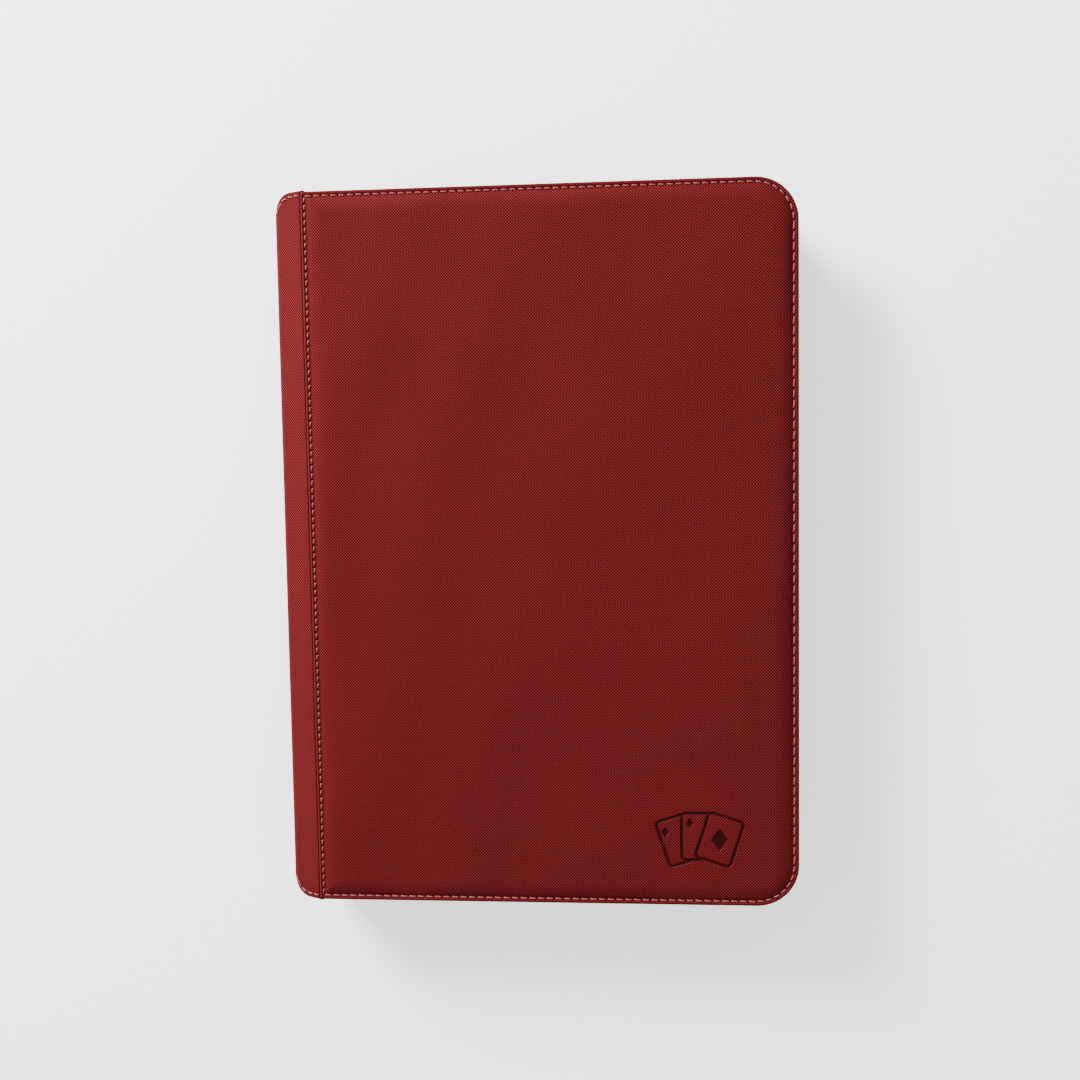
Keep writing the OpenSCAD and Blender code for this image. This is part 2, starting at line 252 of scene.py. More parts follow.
@dataclass(frozen=True)
class TwistedThread(Finish):
    """Three-ply polyester sewing thread, twisted and bonded.

    The plies wind round each other, so each stitch shows slanted bars: the plies are painted
    bright as lit and the grooves between them dark as painted shade. The smooth filaments catch
    the light more than the dull cloth round them.
    """

    # the ply colour is the thread painted as lit, the groove colour is painted shade between the
    # plies
    ply: str = "a4484a"
    groove: str = "4c0f13"
    twist_mm: float = 0.55

    def shade(self, add: AddNode) -> bpy.types.NodeSocket:
        """Draws the slanted plies."""
        place = add("UVMap", uv_map=CLOTH_UV)
        run, round_it = (add("SeparateXYZ", (place,), out=axis) for axis in ("X", "Y"))
        slanted = add("Math", (run, round_it), operation="ADD")
        turn = add("Math", (slanted, 2 * math.pi / self.twist_mm), operation="MULTIPLY")
        wave = add("Math", (turn,), operation="SINE")
        # painted light and shade of the twist: bright ply crowns, dark grooves
        bar = add("MapRange", (wave, -0.9, 0.3, 0, 1), interpolation_type="SMOOTHSTEP")
        colour = add("Mix", {0: bar, 6: srgb(self.groove), 7: srgb(self.ply)}, out=2,
                     data_type="RGBA")
        normal = add("Bump", {"Height": bar, "Distance": 0.05 * MM})
        return add("BsdfPrincipled", {
            "Base Color": colour, "Roughness": 0.42, "Normal": normal,
            "Specular IOR Level": 0.35,
        })


@dataclass(frozen=True)
class FineTwill(Finish):
    """Fine twill, woven from black polyester: the lining cloth, or the ribbed tape of a zip.

    Ridges under a millimetre apart catch light on one flank only, so a black twill reads as
    dark grey with a faint grain: the ridge colour is that lit flank, painted paler, and the
    valley colour is painted shade. It is paler where handling has polished it.
    dark grey with a faint grain, paler where handling has polished it.
    """

    # the ridge colour is painted as the lit flank and the valley colour as painted shade
    ridge: str = "232226"
    valley_shade: str = "09090a"
    polished: str = "2a292d"
    # a lining's real ridges are about 0.3 mm apart, and are drawn coarser so that they show
    ridge_mm: float = 0.45
    slope: float = 1.0
    roughness: float = 0.7

    def shade(self, add: AddNode) -> bpy.types.NodeSocket:
        """Draws the slanted ridges, broken up by the crossing threads."""
        place = add("UVMap", uv_map=CLOTH_UV)
        across, along = (add("SeparateXYZ", (place,), out=axis) for axis in ("X", "Y"))
        lean = add("Math", (across, self.slope, along), operation="MULTIPLY_ADD")
        waves = []
        for run in (lean, across):
            turn = add("Math", (run, 2 * math.pi / self.ridge_mm), operation="MULTIPLY")
            waves.append(add("Math", (turn,), operation="SINE"))
        height = add("Math", (waves[1], 0.35, waves[0]), operation="MULTIPLY_ADD")
        # painted light and shade: lit ridge flanks paler, valleys darker
        lit = add("MapRange", (height, -1.0, 1.0, 0, 1), interpolation_type="SMOOTHSTEP")
        cloth = add("Mix", {0: lit, 6: srgb(self.valley_shade), 7: srgb(self.ridge)}, out=2,
                    data_type="RGBA")
        blotch = add("TexNoise", {"Vector": place, "Scale": 1 / 14, "Detail": 2.0})
        worn = add("MapRange", (blotch, 0.3, 0.75, 0.0, 0.25), interpolation_type="SMOOTHSTEP")
        colour = add("Mix", {0: worn, 6: cloth, 7: srgb(self.polished)}, out=2, data_type="RGBA")
        normal = add("Bump", {"Height": lit, "Distance": 0.06 * MM})
        return add("BsdfPrincipled", {
            "Base Color": colour, "Roughness": self.roughness, "Normal": normal,
            "Specular IOR Level": 0.12, "Sheen Weight": 0.03, "Sheen Roughness": 0.4,
        })


@dataclass(frozen=True)
class TwoTone(Finish):
    """A matt material of two colours: fibres, grain or cells a fraction of a millimetre wide."""

    deep: str
    pale: str
    grain_mm: float
    relief_mm: float
    roughness: float
    detail: float = 5.0
    share: tuple[float, float] = (0.3, 0.7)
    stretch: tuple[float, float, float] = (1, 1, 1)
    specular: float = 0.5
    sheen: float = 0.0
    ior: float = 1.5
    cells: bool = False
    bends: bool = False

    def shade(self, add: AddNode) -> bpy.types.NodeSocket:
        """Draws the pattern as colour and as relief, on the flat sheet if the piece bends."""
        if self.bends:
            place = add("UVMap", uv_map=CLOTH_UV)
        else:
            place = self.place_in_frame(add, self.stretch)
        if self.cells:
            pattern = add("TexVoronoi", {"Vector": place, "Scale": 1 / self.grain_mm})
        else:
            pattern = add("TexNoise", {
                "Vector": place, "Scale": 1 / self.grain_mm, "Detail": self.detail,
            })
        raised = add("MapRange", (pattern, *self.share, 0, 1), interpolation_type="SMOOTHSTEP")
        colour = add("Mix", {0: raised, 6: srgb(self.deep), 7: srgb(self.pale)}, out=2,
                     data_type="RGBA")
        height = pattern if self.cells or self.bends else raised
        normal = add("Bump", {"Height": height, "Distance": self.relief_mm * MM})
        return add("BsdfPrincipled", {
            "Base Color": colour, "Roughness": self.roughness, "Normal": normal,
            "Specular IOR Level": self.specular, "Sheen Weight": self.sheen,
            "Sheen Roughness": 0.6, "IOR": self.ior,
        })


@dataclass(frozen=True)
class NylonMonofilament(Finish):
    """Black nylon monofilament, drawn smooth: it shows small sharp highlights on each loop."""

    dye: str = "0f0f11"
    scuff: str = "232326"

    def shade(self, add: AddNode) -> bpy.types.NodeSocket:
        """Draws the filament with slight wear."""
        place = self.place_in_frame(add)
        wear = add("TexNoise", {"Vector": place, "Scale": 1 / 3, "Detail": 4.0})
        scuffs = add("MapRange", (wear, 0.35, 0.75, 0, 1), interpolation_type="SMOOTHSTEP")
        colour = add("Mix", {0: scuffs, 6: srgb(self.dye), 7: srgb(self.scuff)}, out=2,
                     data_type="RGBA")
        rough = add("MapRange", (scuffs, 0.0, 1.0, 0.28, 0.48))
        return add("BsdfPrincipled", {"Base Color": colour, "Roughness": rough, "IOR": 1.53})


@dataclass(frozen=True)
class GunmetalZinc(Finish):
    """Die-cast zinc with tumbled gunmetal plating.

    Tumbling leaves it smooth but softly uneven, with bare bright metal where edges rub.
    """

    plating: str = "4e4e53"
    thin: str = "606065"
    bare: str = "a9a9ae"

    def shade(self, add: AddNode) -> bpy.types.NodeSocket:
        """Draws the plating, with rubbed edges where the piece is pointed."""
        place = self.place_in_frame(add)
        uneven = add("TexNoise", {"Vector": place, "Scale": 1 / 2.5, "Detail": 3.0})
        thinned = add("MapRange", (uneven, 0.3, 0.7, 0, 1), interpolation_type="SMOOTHSTEP")
        plated = add("Mix", {0: thinned, 6: srgb(self.plating), 7: srgb(self.thin)}, out=2,
                     data_type="RGBA")
        pointed = add("NewGeometry", out="Pointiness")
        edges = add("MapRange", (pointed, 0.52, 0.62, 0, 1), interpolation_type="SMOOTHSTEP")
        colour = add("Mix", {0: edges, 6: plated, 7: srgb(self.bare)}, out=2, data_type="RGBA")
        haze = add("TexNoise", {"Vector": place, "Scale": 1 / 0.7, "Detail": 4.0})
        rough = add("MapRange", (haze, 0.25, 0.8, 0.24, 0.44), interpolation_type="SMOOTHSTEP")
        normal = add("Bump", {"Height": uneven, "Distance": 0.03 * MM})
        return add("BsdfPrincipled", {
            "Base Color": colour, "Metallic": 1.0, "Roughness": rough, "Normal": normal,
        })


@dataclass(frozen=True)
class ClearPocketFilm(Finish):
    """Clear cast polypropylene film, welded to the sheet along the pocket borders.

    It is glass-clear with a long soft waviness that bends the reflections, and turns milky
    and rough where the hot bar has pressed the welds.
    """

    clear: str = "1c1e20"
    milky: str = "5a5f66"
    bar_dot_mm: float = 0.9

    def shade(self, add: AddNode) -> bpy.types.NodeSocket:
        """Draws the film and its welds."""
        place = add("UVMap", uv_map=CLOTH_UV)
        weld = add("Attribute", attribute_name="welded", out="Fac")
        # the film lies in long waves that run with its roll
        rolled = add("VectorMath", (place, (1.0, 0.35, 1.0)), operation="MULTIPLY")
        wave = add("TexNoise", {"Vector": rolled, "Scale": 1 / 38, "Detail": 0.0})
        rows = []
        for axis in ("X", "Y"):
            at = add("SeparateXYZ", (place,), out=axis)
            turn = add("Math", (at, 2 * math.pi / self.bar_dot_mm), operation="MULTIPLY")
            rows.append(add("Math", (turn,), operation="SINE"))
        dots = add("Math", rows, operation="MULTIPLY")
        pressed_dots = add("Math", (dots, weld), operation="MULTIPLY")
        height = add("Math", (pressed_dots, 0.2, wave), operation="MULTIPLY_ADD")
        normal = add("Bump", {"Height": height, "Distance": 1.5 * MM})
        colour = add("Mix", {0: weld, 6: srgb(self.clear), 7: srgb(self.milky)}, out=2,
                     data_type="RGBA")
        rough = add("MapRange", (weld, 0.0, 1.0, 0.09, 0.4))
        cover = add("MapRange", (weld, 0.0, 1.0, 0.12, 0.5))
        return add("BsdfPrincipled", {
            "Base Color": colour, "Roughness": rough, "Alpha": cover, "Normal": normal,
            "IOR": 1.49,
        })


@dataclass(frozen=True)
class OpalFloor(Finish):
    """Opal acrylic table, sanded matt and lit softly from below, as in a product studio.

    It is nearly white with a barely uneven nap, and its own glow keeps the shadows pale.
    """

    sanded: str = "f3f3f3"
    smooth: str = "f8f8f8"
    glow: float = 1.1

    def shade(self, add: AddNode) -> bpy.types.NodeSocket:
        """Draws the sanded nap and the glow."""
        place = self.place_in_frame(add)
        nap = add("TexNoise", {"Vector": place, "Scale": 1 / 3, "Detail": 3.0})
        worn = add("MapRange", (nap, 0.2, 0.8, 0, 1), interpolation_type="SMOOTHSTEP")
        colour = add("Mix", {0: worn, 6: srgb(self.sanded), 7: srgb(self.smooth)}, out=2,
                     data_type="RGBA")
        return add("BsdfPrincipled", {
            "Base Color": colour, "Roughness": 0.85, "Specular IOR Level": 0.2,
            "Emission Color": srgb("ffffff"), "Emission Strength": self.glow,
        })


RED_CLOTH = WovenPolyester("woven_polyester_red")
RED_THREAD = TwistedThread("twisted_thread_red")
LINING = FineTwill("fine_twill_lining_black")
# its ridge colour is painted as the lit flank and its valley colour as painted shade
ZIP_TAPE = FineTwill(
    "zip_tape_twill_black", ridge="1d1c20", valley_shade="060607", ridge_mm=0.8, slope=0.0
)
# grey pulp board, pressed and cut: matt, with dark and pale flecks of fibre
BOARD = TwoTone(
    "greyboard_pressed", "5c5955", "85817a", grain_mm=0.8, relief_mm=0.08, roughness=0.92,
    detail=6.0, share=(0.35, 0.65),
)
# polyurethane foam, skived from a block: pale, matt and pitted with half-millimetre cells,
# whose pits are painted darker as shade
FOAM = TwoTone(
    "polyurethane_foam_skived", "a49c8b", "dcd5c6", grain_mm=0.6, relief_mm=0.25,
    roughness=0.95, share=(0.1, 0.6), cells=True,
)
# the cut edges of black polypropylene sheets packed together: dull, with fine scratches
SHEET_EDGE = TwoTone(
    "polypropylene_black_cut_edge", "101012", "1d1d20", grain_mm=0.33, relief_mm=0.02,
    roughness=0.5, detail=3.0, stretch=(1.0, 0.2, 1.0), specular=0.12,
)
# black pressed felt: fibres a few millimetres long lie every way, so it drinks the light
FELT = TwoTone(
    "pressed_felt_black", "0d0d0f", "2b2a2e", grain_mm=0.35, relief_mm=0.12, roughness=0.96,
    stretch=(1.0, 0.25, 1.6), specular=0.1, sheen=0.1,
)
COIL = NylonMonofilament("nylon_monofilament_black")
ZINC = GunmetalZinc("zinc_gunmetal_tumbled")
# black polypropylene sheet, calendered with a fine matt grain that scatters the light, so it
# is a soft charcoal without a mirror image
SHEET = TwoTone(
    "polypropylene_black_calendered", "101012", "1d1d20", grain_mm=0.33, relief_mm=0.02,
    roughness=0.5, detail=3.0, specular=0.12, ior=1.49, bends=True,
)
FILM = ClearPocketFilm("polypropylene_film_clear")
FLOOR = OpalFloor("acrylic_opal_sanded")


# ---------------------------------------------------------------- meshes


@dataclass
class Patch:
    """A stretch of surface, in millimetres, with its place on the flat cloth."""

    points: Array
    faces: list[Array]
    cloth: Array
    finish: Finish
    marks: dict[str, Array] = field(default_factory=dict)


def quads(a: Array, b: Array) -> Array:
    """Joins two rows of point numbers, or every two matching rows of two grids, with quads."""
    return np.stack([a[..., :-1], a[..., 1:], b[..., 1:], b[..., :-1]], axis=-1).reshape(-1, 4)


def running_length(line: Array) -> Array:
    """Returns the length along a line of points up to each of them."""
    return np.concatenate([[0], np.cumsum(np.linalg.norm(np.diff(line, axis=0), axis=1))])


def grid_patch(
    points: Array, cloth: Array, finish: Finish, marks: dict[str, Array] | None = None
) -> Patch:
    """Makes a patch from a grid of points.

    Args:
        points: The points, rows by columns by three.
        cloth: Their places on the flat cloth, rows by columns by two.
        finish: The finish of the patch.
        marks: Values of named attributes, rows by columns.

    Returns:
        The patch.
    """
    index = np.arange(points[..., 0].size).reshape(points.shape[:2])
    flat_marks = {name: value.reshape(-1) for name, value in (marks or {}).items()}
    faces = [quads(index[:-1], index[1:])]
    return Patch(points.reshape(-1, 3), faces, cloth.reshape(-1, 2), finish, flat_marks)


def slab_patch(face: Array, rear: Array, cloth: Array, finish: Finish) -> Patch:
    """Makes a closed thin slab from its two faces.

    Args:
        face: One face's points, rows by columns by three.
        rear: The other face's points, in the same order.
        cloth: Places on the flat cloth, rows by columns by two.
        finish: The finish of the slab.

    Returns:
        The patch, with a rim on all four sides.
    """
    front = np.arange(face[..., 0].size).reshape(face.shape[:2])
    behind = front + front.size
    faces = [
        quads(front[:-1], front[1:]), quads(behind[1:], behind[:-1]),
        quads(behind[0], front[0]), quads(front[-1], behind[-1]),
        quads(front[:, 0], behind[:, 0]), quads(behind[:, -1], front[:, -1]),
    ]
    points = np.concatenate([face.reshape(-1, 3), rear.reshape(-1, 3)])
    flat = cloth.reshape(-1, 2)
    return Patch(points, faces, np.concatenate([flat, flat]), finish)


def build_object(
    name: str, patches: Sequence[Patch], crease_deg: float = 40.0, weld: bool = False,
    side: Side = Side.BACK,
) -> bpy.types.Object:
    """Makes one smooth-shaded mesh object from patches.

    Args:
        name: The object's name.
        patches: Its patches, drawn on the back half; each finish gets one material slot.
        crease_deg: Edges sharper than this stay sharp.
        weld: Whether points that meet become one, so that the cloth shades as one surface.
        side: The half of the binder that it is for.

    Returns:
        The object, linked to the scene.
    """
    finishes = list(dict.fromkeys(p.finish for p in patches))
    points = to_side(np.concatenate([p.points for p in patches]), side)
    cloth = np.concatenate([p.cloth for p in patches])
    starts = np.cumsum([0] + [len(p.points) for p in patches])
    faces: list[list[int]] = []
    slots: list[int] = []
    for patch, start in zip(patches, starts):
        for block in patch.faces:
            faces += (block + start).tolist()
            slots += [finishes.index(patch.finish)] * len(block)
    mesh = bpy.data.meshes.new(name)
    mesh.from_pydata((points * MM).tolist(), [], faces)
    for finish in finishes:
        mesh.materials.append(finish.material())
    mesh.polygons.foreach_set("material_index", slots)
    corner_points = np.empty(len(mesh.loops), dtype=np.int32)
    mesh.loops.foreach_get("vertex_index", corner_points)
    layer = mesh.uv_layers.new(name=CLOTH_UV)
    layer.data.foreach_set("uv", cloth[corner_points].astype(np.float32).reshape(-1))
    for mark in sorted({m for p in patches for m in p.marks}):
        values = np.concatenate([p.marks.get(mark, np.zeros(len(p.points))) for p in patches])
        attribute = mesh.attributes.new(mark, "FLOAT", "POINT")
        attribute.data.foreach_set("value", values.astype(np.float32))
    if weld:
        work = bmesh.new()
        work.from_mesh(mesh)
        bmesh.ops.remove_doubles(work, verts=work.verts, dist=WELD_GAP * MM)
        bmesh.ops.recalc_face_normals(work, faces=work.faces)
        work.to_mesh(mesh)
        work.free()
    mesh.polygons.foreach_set("use_smooth", [True] * len(mesh.polygons))
    mesh.set_sharp_from_angle(angle=math.radians(crease_deg))
    mesh.update()
    made = bpy.data.objects.new(name, mesh)
    bpy.context.scene.collection.objects.link(made)
    return made


def tube_patch(paths: Array, radius: float, finish: Finish, sides: int = 6) -> Patch:
    """Sweeps round tubes with tapered ends along many short paths at once.

    Args:
        paths: The centre lines, count by steps by three.
        radius: The tubes' radius.
        finish: Their finish.
        sides: How many sides each tube has.

    Returns:
        One patch with all the tubes.
    """
    count, steps = paths.shape[:2]
    ahead = np.gradient(paths, axis=1)
    ahead /= np.linalg.norm(ahead, axis=2, keepdims=True)
    first_side = np.cross(ahead, np.broadcast_to(np.array([0.13, 0.21, 0.97]), ahead.shape))
    first_side /= np.linalg.norm(first_side, axis=2, keepdims=True)
    second_side = np.cross(ahead, first_side)
    taper = np.ones(steps)
    taper[[0, -1]] = 0.45
    turn = np.arange(sides + 1) / sides * 2 * math.pi
    ring = (
        np.cos(turn)[None, None, :, None] * first_side[:, :, None]
        + np.sin(turn)[None, None, :, None] * second_side[:, :, None]
    )
    points = paths[:, :, None] + ring * (radius * taper)[None, :, None, None]
    run = np.array([running_length(path) for path in paths])
    cloth = np.stack(
        np.broadcast_arrays(run[:, :, None], (turn * radius)[None, None, :]), axis=-1
    )
    index = np.arange(count * steps * (sides + 1)).reshape(count, steps, sides + 1)
    caps = np.concatenate([index[:, 0, :-1][:, ::-1], index[:, -1, :-1]])
    faces = [quads(index[:, :-1], index[:, 1:]), caps]
    return Patch(points.reshape(-1, 3), faces, cloth.reshape(-1, 2), finish)


def plate_object(
    name: str, loops: Sequence[Array], thickness: float, bevel: float, origin: Sequence[float],
    upright: bool = False,
) -> bpy.types.Object:
    """Makes a cast zinc plate with rounded edges, and with holes, from outlines.

    Args:
        name: The object's name.
        loops: Closed outlines, count by two; an inner one is a hole.
        thickness: The plate's thickness.
        bevel: The radius of its edges.
        origin: Where the outlines' zero point and the plate's middle lie in the frame.
        upright: Whether the outlines are drawn in X and Z; otherwise they are in X and Y.

    Returns:
        The object.
    """
    curve = bpy.data.curves.new(name + "_outline", "CURVE")
    curve.dimensions = "2D"
    curve.fill_mode = "BOTH"
    curve.extrude = thickness / 2 - bevel
    curve.bevel_depth = bevel
    curve.bevel_resolution = 2
    curve.offset = -bevel
    for loop in loops:
        spline = curve.splines.new("POLY")
        spline.points.add(len(loop) - 1)
        spline.use_cyclic_u = True
        flat = np.concatenate([loop, np.zeros((len(loop), 1)), np.ones((len(loop), 1))], axis=1)
        spline.points.foreach_set("co", flat.reshape(-1))
    holder = bpy.data.objects.new(name + "_outline", curve)
    bpy.context.scene.collection.objects.link(holder)
    bpy.context.view_layer.update()
    graph = bpy.context.evaluated_depsgraph_get()
    mesh = bpy.data.meshes.new_from_object(holder.evaluated_get(graph))
    points = np.array([tuple(v.co) for v in mesh.vertices])
    polygons = [np.array([list(p.vertices)]) for p in mesh.polygons]
    bpy.data.objects.remove(holder)
    bpy.data.curves.remove(curve)
    bpy.data.meshes.remove(mesh)
    placed = (points[:, [0, 2, 1]] if upright else points) + origin
    return build_object(name, [Patch(placed, polygons, points[:, :2], ZINC)], 35.0)


def join_objects(name: str, objects: Sequence[bpy.types.Object]) -> bpy.types.Object:
    """Joins objects into the first one, which takes the name, and returns it."""
    with bpy.context.temp_override(
        active_object=objects[0], object=objects[0], selected_editable_objects=list(objects)
    ):
        bpy.ops.object.join()
    objects[0].name = name
    return objects[0]


def arc(centre: tuple[float, float], radius: float, start: float, end: float, steps: int) -> Array:
    """Returns points along an arc, with angles in degrees."""
    turn = np.radians(np.linspace(start, end, steps + 1))
    return np.stack([centre[0] + radius * np.cos(turn), centre[1] + radius * np.sin(turn)], axis=1)


def smooth_step(value: Any, low: float, high: float) -> Any:
    """Rises smoothly from 0 at low to 1 at high."""
    share = np.clip((value - low) / (high - low), 0, 1)
    return share * share * (3 - 2 * share)


def settle(piece: bpy.types.Object, body: str, slot: str, *nodes: str) -> None:
    """Lets a piece ride on a body and hides the CAD nodes it stands for."""
    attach(piece, body)
    finish_piece(piece, slot, *nodes)


def finish_piece(piece: bpy.types.Object, slot: str, *nodes: str) -> None:
    """Hides the CAD nodes that the piece stands for and reports it."""
    if nodes:
        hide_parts(*nodes)
    log.info("%s: %d points", piece.name, len(piece.data.vertices))


def dress_node(node: str, finish: Finish) -> None:
    """Gives a CAD node that keeps its own shape its finish, and reports it."""
    mesh = frame["nodes"][node].data
    mesh.materials.clear()
    mesh.materials.append(finish.material())
    log.info("%s: CAD shape, %s", node, finish.name)


def low(node: str) -> Array:
    """Returns the lowest corner of a CAD node in millimetres."""
    return np.array(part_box(node)[0]) / MM


def high(node: str) -> Array:
    """Returns the highest corner of a CAD node in millimetres."""
    return np.array(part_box(node)[1]) / MM


def hinge(joint: str) -> Array:
    """Returns a joint's place in millimetres."""
    found = next(j for j in frame["joints"] if j["name"] == joint)
    return np.array(found["pos_m"]) / MM


# ---------------------------------------------------------------- sizes from the frame

ZIP_STOP_T = 2.7


@dataclass(frozen=True)
class BinderSizes:
    """Sizes that several sub-assemblies share, read from the frame."""

    half_h: float = float(high("back_fabric")[1])
    x_fold: float = float(low("back_fabric")[0])
    x_fore: float = float(high("back_fabric")[0])
    x_spine: float = float(low("spine_fabric")[0])
    x_seam: float = float(hinge("back_seam_fold")[0])
    z_hinge: float = float(hinge("back_seam_fold")[2])
    z_strip: float = float(hinge("back_spine_fold")[2])
    thickness: float = float(high("front_fabric")[2])
    stack_t: float = float(high("back_fabric")[2])
    hem_z: float = float(high("back_hem_stitching")[2])
    lining_half_h: float = float(high("back_lining")[1])
    lining_x: float = float(high("back_lining")[0])
    lining_start: float = float(low("back_lining")[0])
    zip_inset: float = float(low("zip_stops_back")[1] + high("back_fabric")[1]) + ZIP_STOP_T / 2
    corner_r: float = 20.0
    spine_corner_r: float = 8.0
    stitch_inset: float = 2.4

    @property
    def z_mid(self) -> float:
        """The height of the plane between the two covers."""
        return self.thickness / 2


SIZES = BinderSizes()


def to_side(points: Array, side: Side) -> Array:
    """Mirrors points drawn on the back half to the front half, or leaves them."""
    if side is Side.BACK:
        return points
    return points * [1, 1, -1] + [0, 0, SIZES.thickness]


# ---------------------------------------------------------------- stitches


@dataclass(frozen=True)
class StitchRun:
    """Lockstitches along a row of needle holes."""

    thread_r: float = 0.38
    rise: float = 0.36
    sink: float = 0.45
    gap: float = 1.2
    lean: float = 0.3

    def patch(self, holes: Array, out: Array, finish: Finish) -> Patch:
        """Lays one bowed thread between each pair of neighbouring holes.

        Args:
            holes: The holes in order, count by three.
            out: The direction out of the cloth at each hole.
            finish: The thread's finish.

        Returns:
            A patch with every stitch.
        """
        begin, end = holes[:-1], holes[1:]
        ahead = end - begin
        length = np.linalg.norm(ahead, axis=1, keepdims=True)
        ahead = ahead / length
        up = out[:-1] + out[1:]
        up /= np.linalg.norm(up, axis=1, keepdims=True)
        side = np.cross(up, ahead)
        # the thread comes up steeply out of one hole, bows over and dives into the next
        share = np.array([0.0, 0.04, 0.14, 0.32, 0.5, 0.68, 0.86, 0.96, 1.0])
        lift = np.array([-1.0, -0.2, 0.55, 0.92, 1.0, 0.92, 0.55, -0.2, -1.0])
        height = np.where(lift < 0, lift * self.sink, lift * self.rise)
        run = self.gap / 2 + share[None, :] * (length - self.gap)
        sway = (share - 0.5) * self.lean
        paths = (
            begin[:, None]
            + ahead[:, None] * run[:, :, None]
            + up[:, None] * height[None, :, None]
            + side[:, None] * sway[None, :, None]
        )
        return tube_patch(paths, self.thread_r, finish)


STITCHES = StitchRun()


# ---------------------------------------------------------------- covers


@dataclass(frozen=True)
class CoverOutline:
    """The cover's outline as five sides and two corners, with even steps for the stitches."""

    tail_pitch: float = 4.2
    fore_pitch: float = 4.8
    head_pitch: float = 4.0
    seam_pitch: float = 3.5
    corner_pitch: float = 4.2
    steps_per_stitch: int = 6

    def steps(self) -> dict[str, int]:
        """Returns how many steps each side takes, a whole number of stitches each."""
        s = SIZES
        straight_x = s.x_fore - s.x_fold - s.corner_r
        straight_y = 2 * (s.half_h - s.corner_r)
        corner = (s.corner_r - s.stitch_inset) * math.pi / 2
        lengths = {
            "tail": (straight_x - s.stitch_inset, self.tail_pitch),
            "tail_corner": (corner, self.corner_pitch),
            "fore": (straight_y, self.fore_pitch),
            "head_corner": (corner, self.corner_pitch),
            "head": (straight_x - s.stitch_inset, self.head_pitch),
            "seam": (2 * (s.half_h - s.stitch_inset), self.seam_pitch),
        }
        return {
            name: self.steps_per_stitch * round(length / pitch)
            for name, (length, pitch) in lengths.items()
        }

    def ring(self, inset: float) -> Array:
        """Returns the outline drawn in by inset, as a closed loop of points in X and Y.

        Args:
            inset: The distance from the edge; below zero it is cloth past the edge.

        Returns:
            The points, with the first one repeated at the end.
        """
        s, n = SIZES, self.steps()
        left, right = s.x_fold + inset, s.x_fore - s.corner_r
        y, y_corner = s.half_h - inset, s.half_h - s.corner_r
        radius = s.corner_r - inset

        def line(x0: float, y0: float, x1: float, y1: float, count: int) -> Array:
            """Returns even points along a straight side."""
            return np.linspace((x0, y0), (x1, y1), count + 1)

        parts = [
            line(left, -y, right, -y, n["tail"]),
            arc((right, -y_corner), radius, -90, 0, n["tail_corner"]),
            line(s.x_fore - inset, -y_corner, s.x_fore - inset, y_corner, n["fore"]),
            arc((right, y_corner), radius, 0, 90, n["head_corner"]),
            line(right, y, left, y, n["head"]),
            line(left, y, left, -y, n["seam"]),
        ]
        return np.concatenate([p[:-1] for p in parts] + [parts[0][:1]])

    def seam_share(self) -> Array:
        """Returns 1 along the seam side and 0 elsewhere, for each point of a ring."""
        n = self.steps()
        total = sum(n.values())
        share = np.zeros(total + 1)
        share[total - n["seam"]:] = 1.0
        share[0] = 1.0
        return share

    def hole_steps(self) -> Array:
        """Returns the numbers of the ring points that are needle holes."""
        return np.arange(0, sum(self.steps().values()) + 1, self.steps_per_stitch)

    def hole_share(self) -> Array:
        """Returns 1 at the needle holes and 0 elsewhere, for each point of a ring."""
        return (np.arange(sum(self.steps().values()) + 1) % self.steps_per_stitch == 0) * 1.0


OUTLINE = CoverOutline()


@dataclass(frozen=True)
class CardFanOrnament:
    """A plain ornament pressed into the cloth: three fanned cards with lozenges."""

    x: float = 76.0
    y: float = -136.0
    card_w: float = 17.0
    card_h: float = 22.5
    card_r: float = 2.0
    fan_deg: float = 18.0
    pivot_drop: float = 30.0
    line_w: float = 1.3
    depth: float = 0.6
    soft: float = 0.35
    reach: float = 27.0
    slimness: float = 1.35
    # place from the middle, and half height
    lozenges: tuple[tuple[float, float, float], ...] = (
        (9.3, -1.5, 5.4), (-4.6, 6.4, 2.4), (-16.2, 2.0, 2.4),
    )

    def card_distance(self, x: Array, y: Array, turn_deg: float) -> Array:
        """Returns the signed distance to the outline of one card of the fan."""
        turn = math.radians(turn_deg)
        dx, dy = x - self.x, y - (self.y - self.pivot_drop)
        across = dx * math.cos(turn) - dy * math.sin(turn)
        along = dx * math.sin(turn) + dy * math.cos(turn) - self.pivot_drop
        qx = np.abs(across) - self.card_w / 2 + self.card_r
        qy = np.abs(along) - self.card_h / 2 + self.card_r
        outside = np.hypot(np.maximum(qx, 0), np.maximum(qy, 0))
        return outside + np.minimum(np.maximum(qx, qy), 0) - self.card_r

    def lozenge_distance(self, x: Array, y: Array, at: tuple[float, float], size: float) -> Array:
        """Returns the signed distance to a lozenge that is taller than it is wide."""
        lean = np.abs(x - at[0]) * self.slimness + np.abs(y - at[1]) - size
        return lean / math.hypot(self.slimness, 1)

    def pressed(self, x: Array, y: Array) -> Array:
        """Returns how far the stamp has pressed the cloth, from 0 to 1.

        Args:
            x: Places across the cover.
            y: Places along the cover.

        Returns:
            The press at each place.
        """
        half_line = self.line_w / 2
        lines = np.full(np.shape(x), np.inf)
        for turn in (-self.fan_deg, 0.0, self.fan_deg):
            card = self.card_distance(x, y, turn)
            # each card hides the lines of the card behind it
            lines = np.where(card < half_line, np.inf, lines)
            lines = np.minimum(lines, np.abs(card) - half_line)
        for dx, dy, size in self.lozenges:
            place = (self.x + dx, self.y + dy)
            lines = np.minimum(lines, self.lozenge_distance(x, y, place, size))
        return 1 - smooth_step(lines, -self.soft / 2, self.soft / 2)


